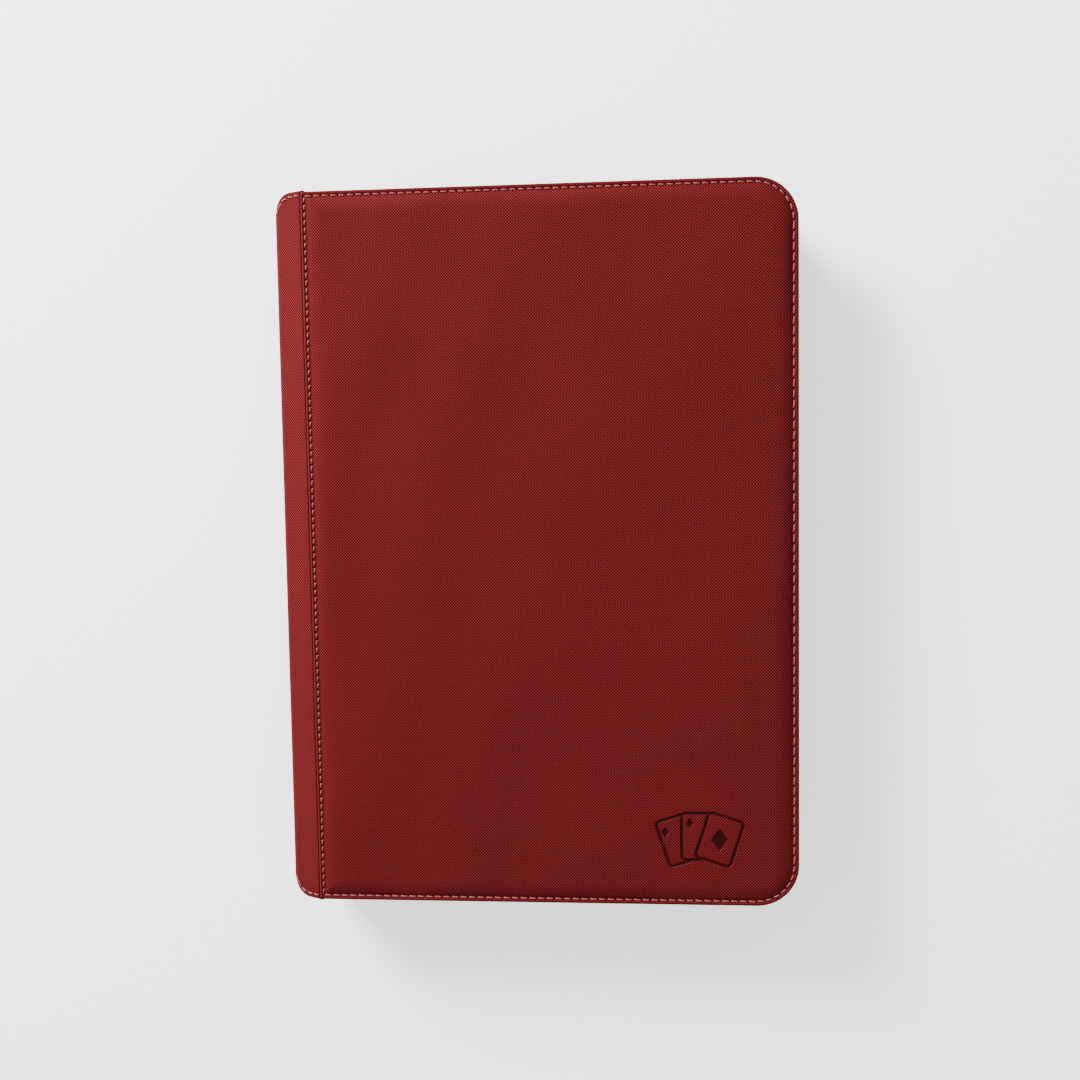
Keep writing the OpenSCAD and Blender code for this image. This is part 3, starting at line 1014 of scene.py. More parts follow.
@dataclass(frozen=True)
class Crease:
    """A groove or ridge that runs along the cover's edge, bell-shaped across."""

    inset: float
    width: float
    height: float

    def bell(self, inset: float) -> float:
        """Returns its share of the full height at a distance from the edge."""
        return math.exp(-((inset - self.inset) / self.width) ** 2)

    def at(self, inset: float) -> float:
        """Returns its height at a distance from the edge."""
        return self.height * self.bell(inset)


@dataclass(frozen=True)
class PaddedCover:
    """A cover: woven cloth over foam and board, and its stitching."""

    side: Side
    ornament: CardFanOrnament | None = None
    hem_w: float = 3.3
    slope_end: float = 13.5
    inner_ring: float = 15.0
    join_w: float = 2.0
    field_step: float = 3.2
    ornament_step: float = 0.36
    crown: float = 0.9
    ripple: float = 0.44
    stitch_line: Crease = Crease(SIZES.stitch_inset, 0.42, 0.26)
    seam_ease: float = 0.1
    needle_hole: Crease = Crease(SIZES.stitch_inset, 0.3, 0.4)
    feed_groove: Crease = Crease(3.9, 0.75, 0.45)
    seam_ridge: Crease = Crease(1.45, 0.62, 0.62)
    hem_bead: Crease = Crease(0.95, 0.6, 0.28)
    pucker: Crease = Crease(1.3, 0.6, 0.05)
    seam_flank: float = 0.75
    hinge_gap: float = 0.25
    sewn_w: float = 6.0
    quick_rise: float = 30.0
    trial_grid: tuple[int, int] = (36, 52)
    trial_steps: int = 24
    trial_crumple: float = 0.25
    seed: int = 7

    def swell(self) -> tuple[Array, Array, Array]:
        """Blows the padded field up a little with a cloth simulation.

        Returns:
            The grid's places across and along, and how far each point has risen.
        """
        s = SIZES
        across = np.linspace(s.x_fold + self.hem_w, s.x_fore - self.hem_w, self.trial_grid[0])
        along = np.linspace(-s.half_h + self.hem_w, s.half_h - self.hem_w, self.trial_grid[1])
        gx, gy = np.meshgrid(across, along, indexing="ij")
        edge = np.minimum.reduce([
            gx - across[0], across[-1] - gx, gy - along[0], along[-1] - gy
        ])
        chance = np.random.default_rng(self.seed)
        start = chance.normal(0, self.trial_crumple, gx.shape) * (edge > 1)
        points = np.stack([gx, gy, start], axis=-1)
        name = f"{self.side.value}_cloth_trial"
        trial = build_object(name, [grid_patch(points, points[..., :2], RED_CLOTH)])
        pinned = trial.vertex_groups.new(name="sewn")
        sewn = np.flatnonzero(edge.reshape(-1) < self.sewn_w)
        pinned.add(sewn.tolist(), 1.0, "REPLACE")
        cloth = trial.modifiers.new("cloth", "CLOTH")
        behaviour = {
            "quality": 5, "mass": 0.25, "tension_stiffness": 12, "compression_stiffness": 12,
            "shear_stiffness": 6, "bending_stiffness": 2.5, "vertex_group_mass": "sewn",
            "use_pressure": True, "uniform_pressure_force": 1.5,
        }
        for setting, value in behaviour.items():
            setattr(cloth.settings, setting, value)
        cloth.settings.effector_weights.gravity = 0
        cloth.point_cache.frame_start = 1
        cloth.point_cache.frame_end = self.trial_steps
        scene = bpy.context.scene
        for step in range(1, self.trial_steps + 1):
            scene.frame_set(step)
        graph = bpy.context.evaluated_depsgraph_get()
        result = trial.evaluated_get(graph).to_mesh()
        rise = np.array([v.co.z for v in result.vertices]).reshape(gx.shape) / MM
        scene.frame_set(1)
        mesh = trial.data
        bpy.data.objects.remove(trial)
        bpy.data.meshes.remove(mesh)
        rise = rise * np.sign(rise.mean() or 1)
        top = float(np.percentile(rise, 99)) or 1.0
        log.info("%s cover: the cloth trial rose %.2f mm", self.side.value, top)
        return across, along, np.clip(rise / top, -0.2, 1.15) * self.crown

    def lift(self, x: Array, y: Array, swollen: tuple[Array, Array, Array]) -> Array:
        """Returns the padded field's extra height from the swelling and soft ripples.

        Args:
            x: Places across the cover.
            y: Places along the cover.
            swollen: What swell() returned.

        Returns:
            The extra height at each place.
        """
        across, along, rise = swollen
        i = np.clip((x - across[0]) / (across[1] - across[0]), 0, len(across) - 1.001)
        j = np.clip((y - along[0]) / (along[1] - along[0]), 0, len(along) - 1.001)
        i0, j0 = i.astype(int), j.astype(int)
        fi, fj = smooth_step(i - i0, 0, 1), smooth_step(j - j0, 0, 1)
        swelling = (
            rise[i0, j0] * (1 - fi) * (1 - fj) + rise[i0 + 1, j0] * fi * (1 - fj)
            + rise[i0, j0 + 1] * (1 - fi) * fj + rise[i0 + 1, j0 + 1] * fi * fj
        )
        # the glued cloth keeps long soft ripples that run down beside the spine
        bend = 7 * np.sin(y / 57 + 0.6) + 4 * np.sin(y / 23)
        ripples = np.sin((0.94 * x - 0.36 * y + bend) / 10.5) * np.exp(-((x + 58) / 48) ** 2)
        ripples += 0.5 * np.sin((0.8 * x - 0.6 * y + bend) / 16.0 + 1.1)
        ripples += 0.25 * np.sin((x + 0.4 * y) / 8.5 + 0.4) * np.exp(-((y - 70) / 60) ** 2)
        risen = swelling + self.ripple * ripples
        # the lower cover lies pressed flat on the table
        return risen if self.side is Side.FRONT else np.minimum(risen - 0.5, 0.0) * 0.4

    def profile(self, inset: float) -> float:
        """Returns the share of the padding's full height at a distance from the edge."""
        share = min(max((inset - self.hem_w + 0.5) / (self.slope_end - self.hem_w), 0.0), 1.0)
        return (1 - (1 - share) ** 2.9) * float(smooth_step(share, -0.02, 0.12))

    def rings(self) -> list[tuple[float, float, float]]:
        """Returns the cloth's rings as inset, depth behind the hem face, and flat inset."""
        deep = SIZES.stack_t - SIZES.hem_z
        turned = [
            (5.7, deep - 0.5, -9.0), (5.0, deep - 0.12, -8.2), (4.6, deep, -7.8),
            (2.4, deep, -5.6), (0.9, deep, -4.1), (0.45, deep - 0.12, -3.6),
            (0.12, deep - 0.5, -3.1), (0.0, deep - 1.1, -2.5), (0.0, deep / 2, -1.9),
            (0.03, 0.75, -1.3), (0.14, 0.4, -0.8), (0.36, 0.14, -0.2), (0.7, 0.03, 0.4),
        ]
        outer = [
            1.1, 1.5, 1.8, 2.05, 2.25, 2.4, 2.55, 2.75, 3.0, 3.4, 3.9, 4.5, 5.2, 6.0, 6.9, 7.9,
            9.0, 10.2, 11.4, 12.6, 13.8, self.inner_ring,
        ]
        return turned + [(inset, 0.0, inset) for inset in outer]

    def ring_shape(
        self, inset: float, depth: float, ring: Array, swollen: tuple[Array, Array, Array]
    ) -> tuple[Array, Array]:
        """Works out the height of one ring of the cloth, and the painted shade in its needle holes
        and stitch groove.

        Args:
            inset: The ring's distance from the edge.
            depth: How far behind the hem's face it lies, where the cloth is turned in.
            ring: Its points in X and Y.
            swollen: What swell() returned.

        Returns:
            The height, and the painted shade at each point.
        """
        s, deep = SIZES, SIZES.stack_t - SIZES.hem_z
        seam, hole = OUTLINE.seam_share(), OUTLINE.hole_share() * self.needle_hole.bell(inset)
        fold_depth = s.z_hinge - s.hem_z - 0.12
        depth_here = depth * (1 - seam) + depth / deep * fold_depth * seam
        raised = self.profile(inset) * (s.hem_z + self.lift(ring[:, 0], ring[:, 1], swollen))
        line = self.stitch_line.bell(inset)
        groove = line * (self.stitch_line.height - self.seam_ease * seam)
        # the feed presses a second, broader groove beside the seam's stitches
        groove += hole * self.needle_hole.height + seam * self.feed_groove.at(inset)
        # along the seam the folded edge stands up; elsewhere the hem swells into a soft bead
        ridge = seam * self.seam_ridge.at(inset) + (1 - seam) * self.hem_bead.at(inset)
        puckers = (1 - OUTLINE.hole_share()) * self.pucker.at(inset)
        if depth > 0:
            groove, ridge, puckers = 0 * groove, ridge * (1 - depth / deep) ** 4, 0 * puckers
        # the fold slopes down to the strip, so that its flank faces the spine
        flank = seam * self.seam_flank * (1 - smooth_step(inset, 0.0, 1.5)) * (depth < 2)
        z = s.hem_z + depth_here - raised + groove - ridge - puckers + flank
        # beside the hinge nothing reaches below it, where the strip turns
        beyond_hinge = np.maximum(ring[:, 0] - s.x_seam, 0)
        z = np.minimum(z, s.z_hinge - self.hinge_gap + 1.2 * beyond_hinge)
        # painted shade, darkest in the needle holes and fainter along the stitch groove on the face
        return z, np.clip(hole * 1.5 + line * 0.45 * (depth == 0), 0, 1.4)

    def cloth_patches(self) -> list[Patch]:
        """Builds the outer cloth: rings that follow the outline, the field, and a join.

        Returns:
            The patches, drawn on the back cover.
        """
        swollen = self.swell()
        rows, flats, shades_in_holes = [], [], []
        for inset, depth, flat_inset in self.rings():
            ring = OUTLINE.ring(inset)
            z, shade_in_holes = self.ring_shape(inset, depth, ring, swollen)
            rows.append(np.column_stack([ring, z]))
            flats.append(OUTLINE.ring(flat_inset))
            shades_in_holes.append(shade_in_holes)
        marks = {"dented": np.array(shades_in_holes)}
        edge = grid_patch(np.array(rows), np.array(flats), RED_CLOTH, marks)
        return [edge, *self.field_patches(swollen, rows[-1])]

    def field_lines(self, start: float, end: float, fine: tuple[float, float] | None) -> Array:
        """Returns grid lines from start to end, closer together over the ornament."""
        if fine is None:
            return np.linspace(start, end, round((end - start) / self.field_step) + 1)
        spans = [(start, fine[0], self.field_step), (*fine, self.ornament_step),
                 (fine[1], end, self.field_step)]
        lines = [
            np.linspace(a, b, max(2, round((b - a) / step) + 1))[:-1] for a, b, step in spans
        ]
        return np.concatenate([*lines, [end]])

    def field_patches(self, swollen: tuple[Array, Array, Array], last_ring: Array) -> list[Patch]:
        """Builds the padded field inside the rings and the join between them.

        Args:
            swollen: What swell() returned.
            last_ring: The innermost ring's points.

        Returns:
            The field and the join.
        """
        s = SIZES
        inset = self.inner_ring + self.join_w
        fine_x = fine_y = None
        if self.ornament:
            reach = self.ornament.reach
            fine_x = (self.ornament.x - reach, min(self.ornament.x + reach, s.x_fore - inset - 1))
            fine_y = (max(self.ornament.y - reach, inset + 1 - s.half_h), self.ornament.y + reach)
        across = self.field_lines(s.x_fold + inset, s.x_fore - inset, fine_x)
        along = self.field_lines(inset - s.half_h, s.half_h - inset, fine_y)
        gx, gy = np.meshgrid(across, along, indexing="ij")
        pressed = self.ornament.pressed(gx, gy) if self.ornament else np.zeros(gx.shape)
        depth = self.ornament.depth if self.ornament else 0.0
        z = -self.lift(gx, gy, swollen) + depth * pressed
        points = np.stack([gx, gy, z], axis=-1)
        # the press amount also paints the stamped lines darker as shade in the colour
        patches = [grid_patch(points, points[..., :2], RED_CLOTH, {"pressed": pressed})]
        border = np.concatenate([
            points[:-1, 0], points[-1, :-1], points[:0:-1, -1], points[0, :0:-1]
        ])
        ring = last_ring[:-1]
        both = np.concatenate([ring, border])
        count = len(ring)
        loops = [list(range(count)), list(range(count, len(both)))]
        edges = [(loop[i - 1], loop[i]) for loop in loops for i in range(len(loop))]
        made = delaunay_2d_cdt([Vector(p[:2]) for p in both], edges, [], 0, 1e-7)
        place = np.array([tuple(v) for v in made[0]])
        source = np.array([ids[0] for ids in made[3]])
        triangles = np.array([f for f in made[2] if len(f) == 3])
        middle = place[triangles].mean(axis=1)
        beyond = (
            (middle[:, 0] < across[0]) | (middle[:, 0] > across[-1])
            | (middle[:, 1] < along[0]) | (middle[:, 1] > along[-1])
        )
        patches.append(Patch(both, [source[triangles[beyond]]], both[:, :2], RED_CLOTH))
        return patches

    def build_cloth(self) -> None:
        name = f"{self.side.value}_cover_cloth"
        piece = build_object(name, self.cloth_patches(), 60.0, weld=True, side=self.side)
        settle(piece, self.side.cover, "cover_fabric", f"{self.side.value}_fabric")

    def build_stitches(self) -> None:
        """Sews the hem on three sides and the seam along the spine."""
        s = SIZES
        steps = OUTLINE.hole_steps()
        n = OUTLINE.steps()
        seam_at = (sum(n.values()) - n["seam"]) // OUTLINE.steps_per_stitch
        # the needle holes lie a little under the hem's face, in the groove that the feed presses
        height = s.hem_z * (1 - self.profile(s.stitch_inset)) + 0.2
        holes = np.column_stack([OUTLINE.ring(s.stitch_inset)[steps], np.full(len(steps), height)])
        out = np.tile([0.0, 0.0, -1.0], (len(steps), 1))
        runs = {"hem_stitching": slice(0, seam_at + 1), "seam_stitching": slice(seam_at, None)}
        for kind, part in runs.items():
            name = f"{self.side.value}_{kind}"
            patch = STITCHES.patch(holes[part], out[part], RED_THREAD)
            piece = build_object(f"{name}_thread", [patch], side=self.side)
            settle(piece, self.side.cover, "thread", name)

    def build(self) -> None:
        """Builds the cloth and stitching, and dresses the board and foam inside."""
        self.build_cloth()
        self.build_stitches()
        dress_node(f"{self.side.value}_foam", FOAM)
        dress_node(f"{self.side.value}_board", BOARD)


# ---------------------------------------------------------------- spine cloth and linings


@dataclass(frozen=True)
class Profile:
    """A line across the cloth in X and Z, with the direction into the binder at each point."""

    points: Array
    inward: Array

    @classmethod
    def through(cls, corners: Sequence[tuple[float, float]], step: float) -> "Profile":
        """Draws even steps through the corner points, which keep their places.

        Args:
            corners: The corner points in order.
            step: The longest step.

        Returns:
            The profile, with its inward side on the left of its run.
        """
        rows = [np.array([corners[0]], float)]
        for a, b in zip(corners, corners[1:]):
            count = max(1, math.ceil(math.dist(a, b) / step))
            rows.append(np.linspace(a, b, count + 1)[1:])
        points = np.concatenate(rows)
        ahead = np.gradient(points, axis=0)
        ahead /= np.linalg.norm(ahead, axis=1, keepdims=True)
        return cls(points, np.stack([ahead[:, 1], -ahead[:, 0]], axis=1))

    def run(self) -> Array:
        """Returns the length along the profile up to each point."""
        return running_length(self.points)


def rounded_corner(
    before: Array, corner: Array, after: Array, radius: float, steps: int
) -> list[tuple[float, float]]:
    """Returns points of an arc that rounds a corner between two straight runs."""
    a = (before - corner) / np.linalg.norm(before - corner)
    b = (after - corner) / np.linalg.norm(after - corner)
    half = math.acos(float(np.clip(a @ b, -1, 1))) / 2
    middle = corner + (a + b) / np.linalg.norm(a + b) * radius / math.sin(half)
    begin, end = corner + a * radius / math.tan(half), corner + b * radius / math.tan(half)
    first = math.atan2(*(begin - middle)[::-1])
    last = math.atan2(*(end - middle)[::-1])
    sweep = (last - first + math.pi) % (2 * math.pi) - math.pi
    turn = first + sweep * np.linspace(0, 1, steps + 1)
    return [(middle[0] + radius * math.cos(t), middle[1] + radius * math.sin(t)) for t in turn]


@dataclass(frozen=True)
class FoldingSpine:
    """The spine: cloth and lining that run over its folds, with the boards inside."""

    slant_deg: float = 30.0
    strip_t: float = 2.6
    bend_r: float = 5.0
    cloth_step: float = 1.0
    length_step: float = 4.0
    stitch_pitch: float = 4.0
    stitch_start: float = 1.6
    stitch_sink: float = 0.15
    bend_ease: float = 1.05
    lining_t: float = 0.6
    lining_set_back: float = 0.9
    lining_step: float = 0.9
    lining_columns: int = 62
    spine_lining_w: float = 18.0
    cover_lining_spare: float = 8.0
    strip_share: float = 0.55
    wrap: float = 0.75
    bulge: float = 1.1
    turned_in: float = 9.0

    def half_length(self, x: Array) -> Array:
        """Returns how far the spine reaches towards its ends, rounded in plan."""
        s = SIZES
        into = np.clip(s.spine_corner_r - (x - s.x_spine), 0, s.spine_corner_r)
        return s.half_h - s.spine_corner_r + np.sqrt(s.spine_corner_r ** 2 - into ** 2)

    def outer_profile(self) -> Profile:
        """Returns the back half's outer line, from the seam round the bend to the middle."""
        s = SIZES
        seam = np.array([s.x_seam, s.z_hinge])
        corner = np.array([s.x_spine - self.bulge, s.z_strip])
        middle = np.array([s.x_spine - self.bulge, s.z_mid])
        start = seam + (corner - seam) * 0.02
        bend = rounded_corner(seam, corner, middle, self.bend_r, 8)
        return Profile.through([tuple(start), *bend, tuple(middle)], self.cloth_step)

    def cloth_patch(self) -> Patch:
        """Builds the back half of the spine's cloth, with its ends turned in.

        Returns:
            The patch, drawn on the back half.
        """
        profile = self.outer_profile()
        run = profile.run()
        thick = float(high("spine_lining")[0]) - SIZES.x_spine - 0.05 + self.bulge
        # distance in from the end, and depth into the spine, from the inside round to the face
        turned = [
            (7.0, 1.0), (1.0, 1.0), (0.45, 0.94), (0.12, 0.8), (0.0, 0.6), (0.0, 0.4),
            (0.1, 0.2), (0.35, 0.06), (0.8, 0.0), (1.4, -0.01), (1.9, 0.02), (2.2, 0.06),
            (2.4, 0.08), (2.6, 0.06), (2.9, 0.02), (3.5, 0.0), (6.0, 0.0), (self.turned_in, 0.0),
        ]
        count = round(2 * (SIZES.half_h - self.turned_in) / self.length_step)
        between = np.linspace(-1, 1, count + 1)[1:-1]
        ends = np.array(turned)
        depths = np.concatenate([ends[:, 1], 0 * between, ends[::-1, 1]]) * thick
        rows, flats = [], []
        for point, inward, at in zip(profile.points, profile.inward, run):
            # the strips are thinner than the spine, so the turned edge is too
            deep = depths * (1.0 if point[0] < SIZES.x_spine + 2.0 else self.strip_share)
            x, z = (point + inward * deep[:, None]).T
            reach = self.half_length(x) + self.wrap
            tail = ends[:, 0] - reach[:len(ends)]
            head = reach[-len(ends):] - ends[::-1, 0]
            inner = between * (reach[len(ends):-len(ends)] - self.turned_in)
            y = np.concatenate([tail, inner, head])
            rows.append(np.column_stack([x, y, z]))
            # on the flat cloth, the turned part lies beyond the edge
            flats.append(np.column_stack([np.full(len(y), at), y + np.sign(y) * deep]))
        return grid_patch(np.array(rows, float), np.array(flats, float), RED_CLOTH)

    def end_stitches(self) -> list[Patch]:
        """Sews the turned ends of the strip and the spine, at the tail and the head."""
        profile = self.outer_profile()
        run = profile.run()
        count = round(run[-1] / self.stitch_pitch) + 1
        holes_at = np.linspace(run[0] + self.stitch_start, run[-1], count)
        x = np.interp(holes_at, run, profile.points[:, 0])
        z = np.interp(holes_at, run, profile.points[:, 1])
        in_x, in_z = (np.interp(holes_at, run, profile.inward[:, k]) for k in (0, 1))
        patches = []
        for sign in (-1, 1):
            y = sign * (self.half_length(x) + self.wrap - SIZES.stitch_inset)
            holes = np.stack([x + in_x * self.stitch_sink, y, z + in_z * self.stitch_sink], axis=1)
            out = np.stack([-in_x, 0 * y, -in_z], axis=1)
            patches.append(STITCHES.patch(holes, out, RED_THREAD))
        return patches

    def build_cloth(self, side: Side) -> None:
        """Makes one half of the spine's cloth, which runs over the bend between its strip and the
        spine.
        """
        s = SIZES
        patches = [self.cloth_patch(), *self.end_stitches()]
        piece = build_object(f"{side.value}_spine_cloth", patches, 60.0, side=side)
        bend = self.bend_r * self.bend_ease
        slant = math.radians(self.slant_deg)
        start = np.array([[s.x_spine, 0, s.z_strip + bend]])
        end = np.array([[s.x_spine + bend * math.cos(slant), 0, s.z_strip - bend * math.sin(slant)]])
        start, end = (to_side(p, side)[0] * MM for p in (start, end))
        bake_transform(piece)
        nodes = [f"{side.value}_strip_fabric"] + (["spine_fabric"] if side is Side.BACK else [])
        finish_piece(piece, "cover_fabric", *nodes)
        flat = (2 * (s.half_h + self.turned_in) * MM, float(self.outer_profile().run()[-1]) * MM)

    def lining_patch(
        self, corners: Sequence[tuple[float, float]], half_length: Callable[[Array], Array],
        thick: float,
    ) -> Patch:
        """Builds a closed cloth of even thickness over a profile.

        Args:
            corners: The corner points of the face seen from inside the binder.
            half_length: How far the cloth reaches towards the ends, by X.
            thick: The cloth's thickness, away from the inside.

        Returns:
            The patch, drawn on the back half.
        """
        profile = Profile.through(corners, self.lining_step)
        reach = half_length(profile.points[:, 0])
        shares = np.linspace(-1, 1, self.lining_columns)
        y = reach[:, None] * shares[None, :]

        def layer(depth: float) -> Array:
            """Returns the grid of points at a depth behind the inner face."""
            x, z = (profile.points - profile.inward * depth).T
            return np.stack(np.broadcast_arrays(x[:, None], y, z[:, None]), axis=-1)

        flat = np.stack(np.broadcast_arrays(profile.run()[:, None], y), axis=-1)
        return slab_patch(layer(0.0), layer(thick), flat, LINING)

    def lining_corners(self) -> dict[str, tuple[float, float]]:
        """Returns the corner points of the back half's inner face."""
        s = SIZES
        slant = math.radians(self.slant_deg)
        strip_w = math.dist((s.x_seam, s.z_hinge), (s.x_spine, s.z_strip))
        x_inner = float(high("spine_lining")[0])

        def strip(u: float) -> tuple[float, float]:
            """Returns the strip's inner face at a distance from the seam."""
            return (
                s.x_seam - u * math.cos(slant) + self.strip_t * math.sin(slant),
                s.z_hinge + u * math.sin(slant) + self.strip_t * math.cos(slant),
            )

        return {
            "cover_end": (s.lining_start + 0.2, s.stack_t),
            "strip_start": strip(self.strip_t * math.tan(slant / 2) + 0.3),
            "strip_middle": strip(strip_w / 2),
            "strip_end": strip(strip_w - self.strip_t * math.tan(slant) - 0.3),
            "spine_start": (x_inner, float(low("spine_lining")[2]) + 0.6),
            "spine_middle": (x_inner, s.z_mid),
        }

    def lay_lining(
        self, label: str, side: Side, patch: Patch,
        nodes: Sequence[str],
    ) -> None:
        """Lays one lining, which runs between a body and its strip.

        Args:
            label: The lining's name without its side.
            side: The half that it is for.
            patch: Its cloth, drawn on the back half.
            nodes: The CAD nodes that it replaces.
        """
        piece = build_object(f"{side.value}_{label}", [patch], 50.0, side=side)
        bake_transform(piece)
        finish_piece(piece, "lining", *nodes)

    def build_linings(self, side: Side) -> None:
        """Makes the lining of one half: over the spine's bend, and over the seam's."""
        s, at = SIZES, self.lining_corners()
        patch = self.lining_patch(
            [at["spine_middle"], at["spine_start"], at["strip_end"], at["strip_middle"]],
            lambda x: self.half_length(x) - self.lining_set_back, self.lining_t,
        )
        nodes = [f"{side.value}_strip_lining"] + (["spine_lining"] if side is Side.BACK else [])
        self.lay_lining("spine_lining", side, patch,
                        nodes)
        # a hair thinner than the CAD's, so that it lies just above the board's face
        patch = self.lining_patch(
            [at["strip_middle"], at["strip_start"], at["cover_end"], (s.lining_x - 0.01, s.stack_t)],
            self.cover_lining_half, self.lining_t - 0.05,
        )
        self.lay_lining("cover_lining", side, patch,
                        [f"{side.value}_lining"])

    def cover_lining_half(self, x: Array) -> Array:
        """Returns how far the cover's lining reaches towards its ends, by X."""
        s = SIZES
        radius = s.corner_r - (s.half_h - s.lining_half_h)
        into = np.clip(x - (s.lining_x - radius), 0, radius)
        reach = s.lining_half_h - radius + np.sqrt(radius ** 2 - into ** 2)
        strip_end = np.minimum(self.half_length(x) - self.lining_set_back, s.lining_half_h)
        return np.where(x < s.lining_start, strip_end, reach)

    def build(self) -> None:
        """Builds the cloth and linings of both halves and dresses the boards."""
        for side in Side:
            self.build_cloth(side)
            self.build_linings(side)
            dress_node(f"{side.value}_strip_board", BOARD)
        dress_node("spine_board", BOARD)


# ---------------------------------------------------------------- zip


@dataclass(frozen=True)
class ZipPath:
    """The way of the zip round the covers, in the middle of its wall."""

    x_start: float

    def along(self, step: float) -> tuple[Array, Array]:
        """Walks the path in even steps.

        Args:
            step: The length of a step.

        Returns:
            The points in X and Y, and the outward direction at each.
        """
        s = SIZES
        radius = s.corner_r - s.zip_inset
        y, right = s.half_h - s.zip_inset, s.x_fore - s.corner_r
        line = np.concatenate([
            np.array([[self.x_start, -y]]),
            arc((right, -s.half_h + s.corner_r), radius, -90, 0, 24),
            arc((right, s.half_h - s.corner_r), radius, 0, 90, 24),
            np.array([[self.x_start, y]]),
        ])
        run = running_length(line)
        at = np.linspace(0, run[-1], round(run[-1] / step) + 1)
        points = np.stack([np.interp(at, run, line[:, k]) for k in (0, 1)], axis=1)
        ahead = np.gradient(points, axis=0)
        ahead /= np.linalg.norm(ahead, axis=1, keepdims=True)
        return points, np.stack([ahead[:, 1], -ahead[:, 0]], axis=1)


@dataclass(frozen=True)
class CoilZip:
    """The coil zip's tapes, loops of nylon and stops, and the cloth tabs over its ends."""

    tooth_pitch: float = 1.35
    filament_r: float = 0.27
    overlap: float = 0.35
    tape_w: float = 16.0
    tape_length: float = 780.0
    tape_step: float = 2.0
    tape_bow: float = 0.45
    tape_half_t: float = 0.38
    foot_depth: float = 0.35
    tab_nose_r: float = 1.1
    tab_pinch: float = 0.16

    def tape_patch(self) -> Patch:
        """Builds the back tape's upright wall with its thick woven edge."""
        points, out = ZipPath(float(low("zip_tape_back")[0])).along(self.tape_step)
        foot, top = SIZES.stack_t - self.foot_depth, float(low("zip_teeth_back")[2])
        # half thickness, sideways bow and height of the section, up to the thick woven edge
        section = [
            (self.tape_half_t, self.tape_bow * math.sin(h * math.pi),
             foot + h * (top - 0.3 - foot))
            for h in np.linspace(0, 1, 9)
        ]
        section += [(0.42, 0.0, top - 0.15), (0.52, 0.0, top), (0.5, 0.0, top + 0.3)]
        run = np.arange(len(points)) * self.tape_step

        def layer(sign: int) -> Array:
            """Returns the wall's outer or inner face."""
            return np.array([
                np.column_stack([points + out * (bow + sign * half), np.full(len(points), z)])
                for half, bow, z in section
            ])

        flat = np.array([np.column_stack([run, np.full(len(run), z)]) for _, _, z in section])
        return slab_patch(layer(1), layer(-1), flat, ZIP_TAPE)

    def coil_patch(self, shift: float) -> Patch:
        """Builds one row of coil loops on the back half.

        Args:
            shift: How far along the row the loops start, as a share of their pitch.

        Returns:
            The patch.
        """
        start = float(low("zip_teeth_back")[0]) + 0.6 + shift * self.tooth_pitch
        points, out = ZipPath(start).along(self.tooth_pitch)
        ahead = np.stack([-out[:, 1], out[:, 0]], axis=1)
        foot, head = float(low("zip_teeth_back")[2]) + 0.1, SIZES.z_mid + self.overlap
        # one leg of a hairpin loop: offset across, offset along, and height
        leg = [
            (-0.82, 0.32, foot), (-0.84, 0.22, foot + 0.9), (-0.8, 0.1, head - 0.75),
            (-0.5, 0.0, head - 0.32),
        ]
        loop = [*leg, (0.0, 0.0, head - 0.2), *[(-n, -t, z) for n, t, z in leg[::-1]]]
        paths = np.stack([
            np.column_stack([points + out * n + ahead * t, np.full(len(points), z)])
            for n, t, z in loop
        ], axis=1)
        return tube_patch(paths, self.filament_r, COIL)

    def build_half(self, side: Side, shift: float) -> None:
        """Makes one tape and its row of loops, and dresses its stops."""
        name = side.value
        tape = build_object(f"zip_tape_cloth_{name}", [self.tape_patch()], 60.0, side=side)
        settle(tape, side.cover, "zip_tape", f"zip_tape_{name}")
        coil = build_object(f"zip_coil_{name}", [self.coil_patch(shift)], side=side)
        settle(coil, side.cover, "zip_teeth", f"zip_teeth_{name}")
        dress_node(f"zip_stops_{name}", ZINC)

    def build_tab(self, end: str) -> None:
        """Makes one end's tab, a strip of cloth folded round the zip with a round nose."""
        node = f"zip_end_tab_{end}"
        a, b = low(node), high(node)
        middle, half = (a + b) / 2, (b - a) / 2
        nose = min(half[1], self.tab_nose_r)
        line = np.array([
            (a[0], middle[1] - half[1]),
            *arc((b[0] - nose, middle[1]), nose, -90, 90, 8),
            (a[0], middle[1] + half[1]),
        ])
        run = running_length(line)
        height = np.linspace(-1, 1, 25)
        pinch = 1 - self.tab_pinch * np.abs(height) ** 6
        rows = [
            np.column_stack([
                line[:, 0], middle[1] + (line[:, 1] - middle[1]) * p,
                np.full(len(line), middle[2] + h * half[2]),
            ])
            for h, p in zip(height, pinch)
        ]
        flats = [np.column_stack([run, np.full(len(run), h * half[2])]) for h in height]
        patch = grid_patch(np.array(rows), np.array(flats), RED_CLOTH)
        piece = build_object(f"zip_end_cloth_{end}", [patch], 50.0)
        settle(piece, SPINE, "cover_fabric", node)

    def build(self) -> None:
        """Builds the zip without its slider."""
        self.build_half(Side.BACK, 0.0)
        self.build_half(Side.FRONT, 0.5)
        for end in ("tail", "head"):
            self.build_tab(end)


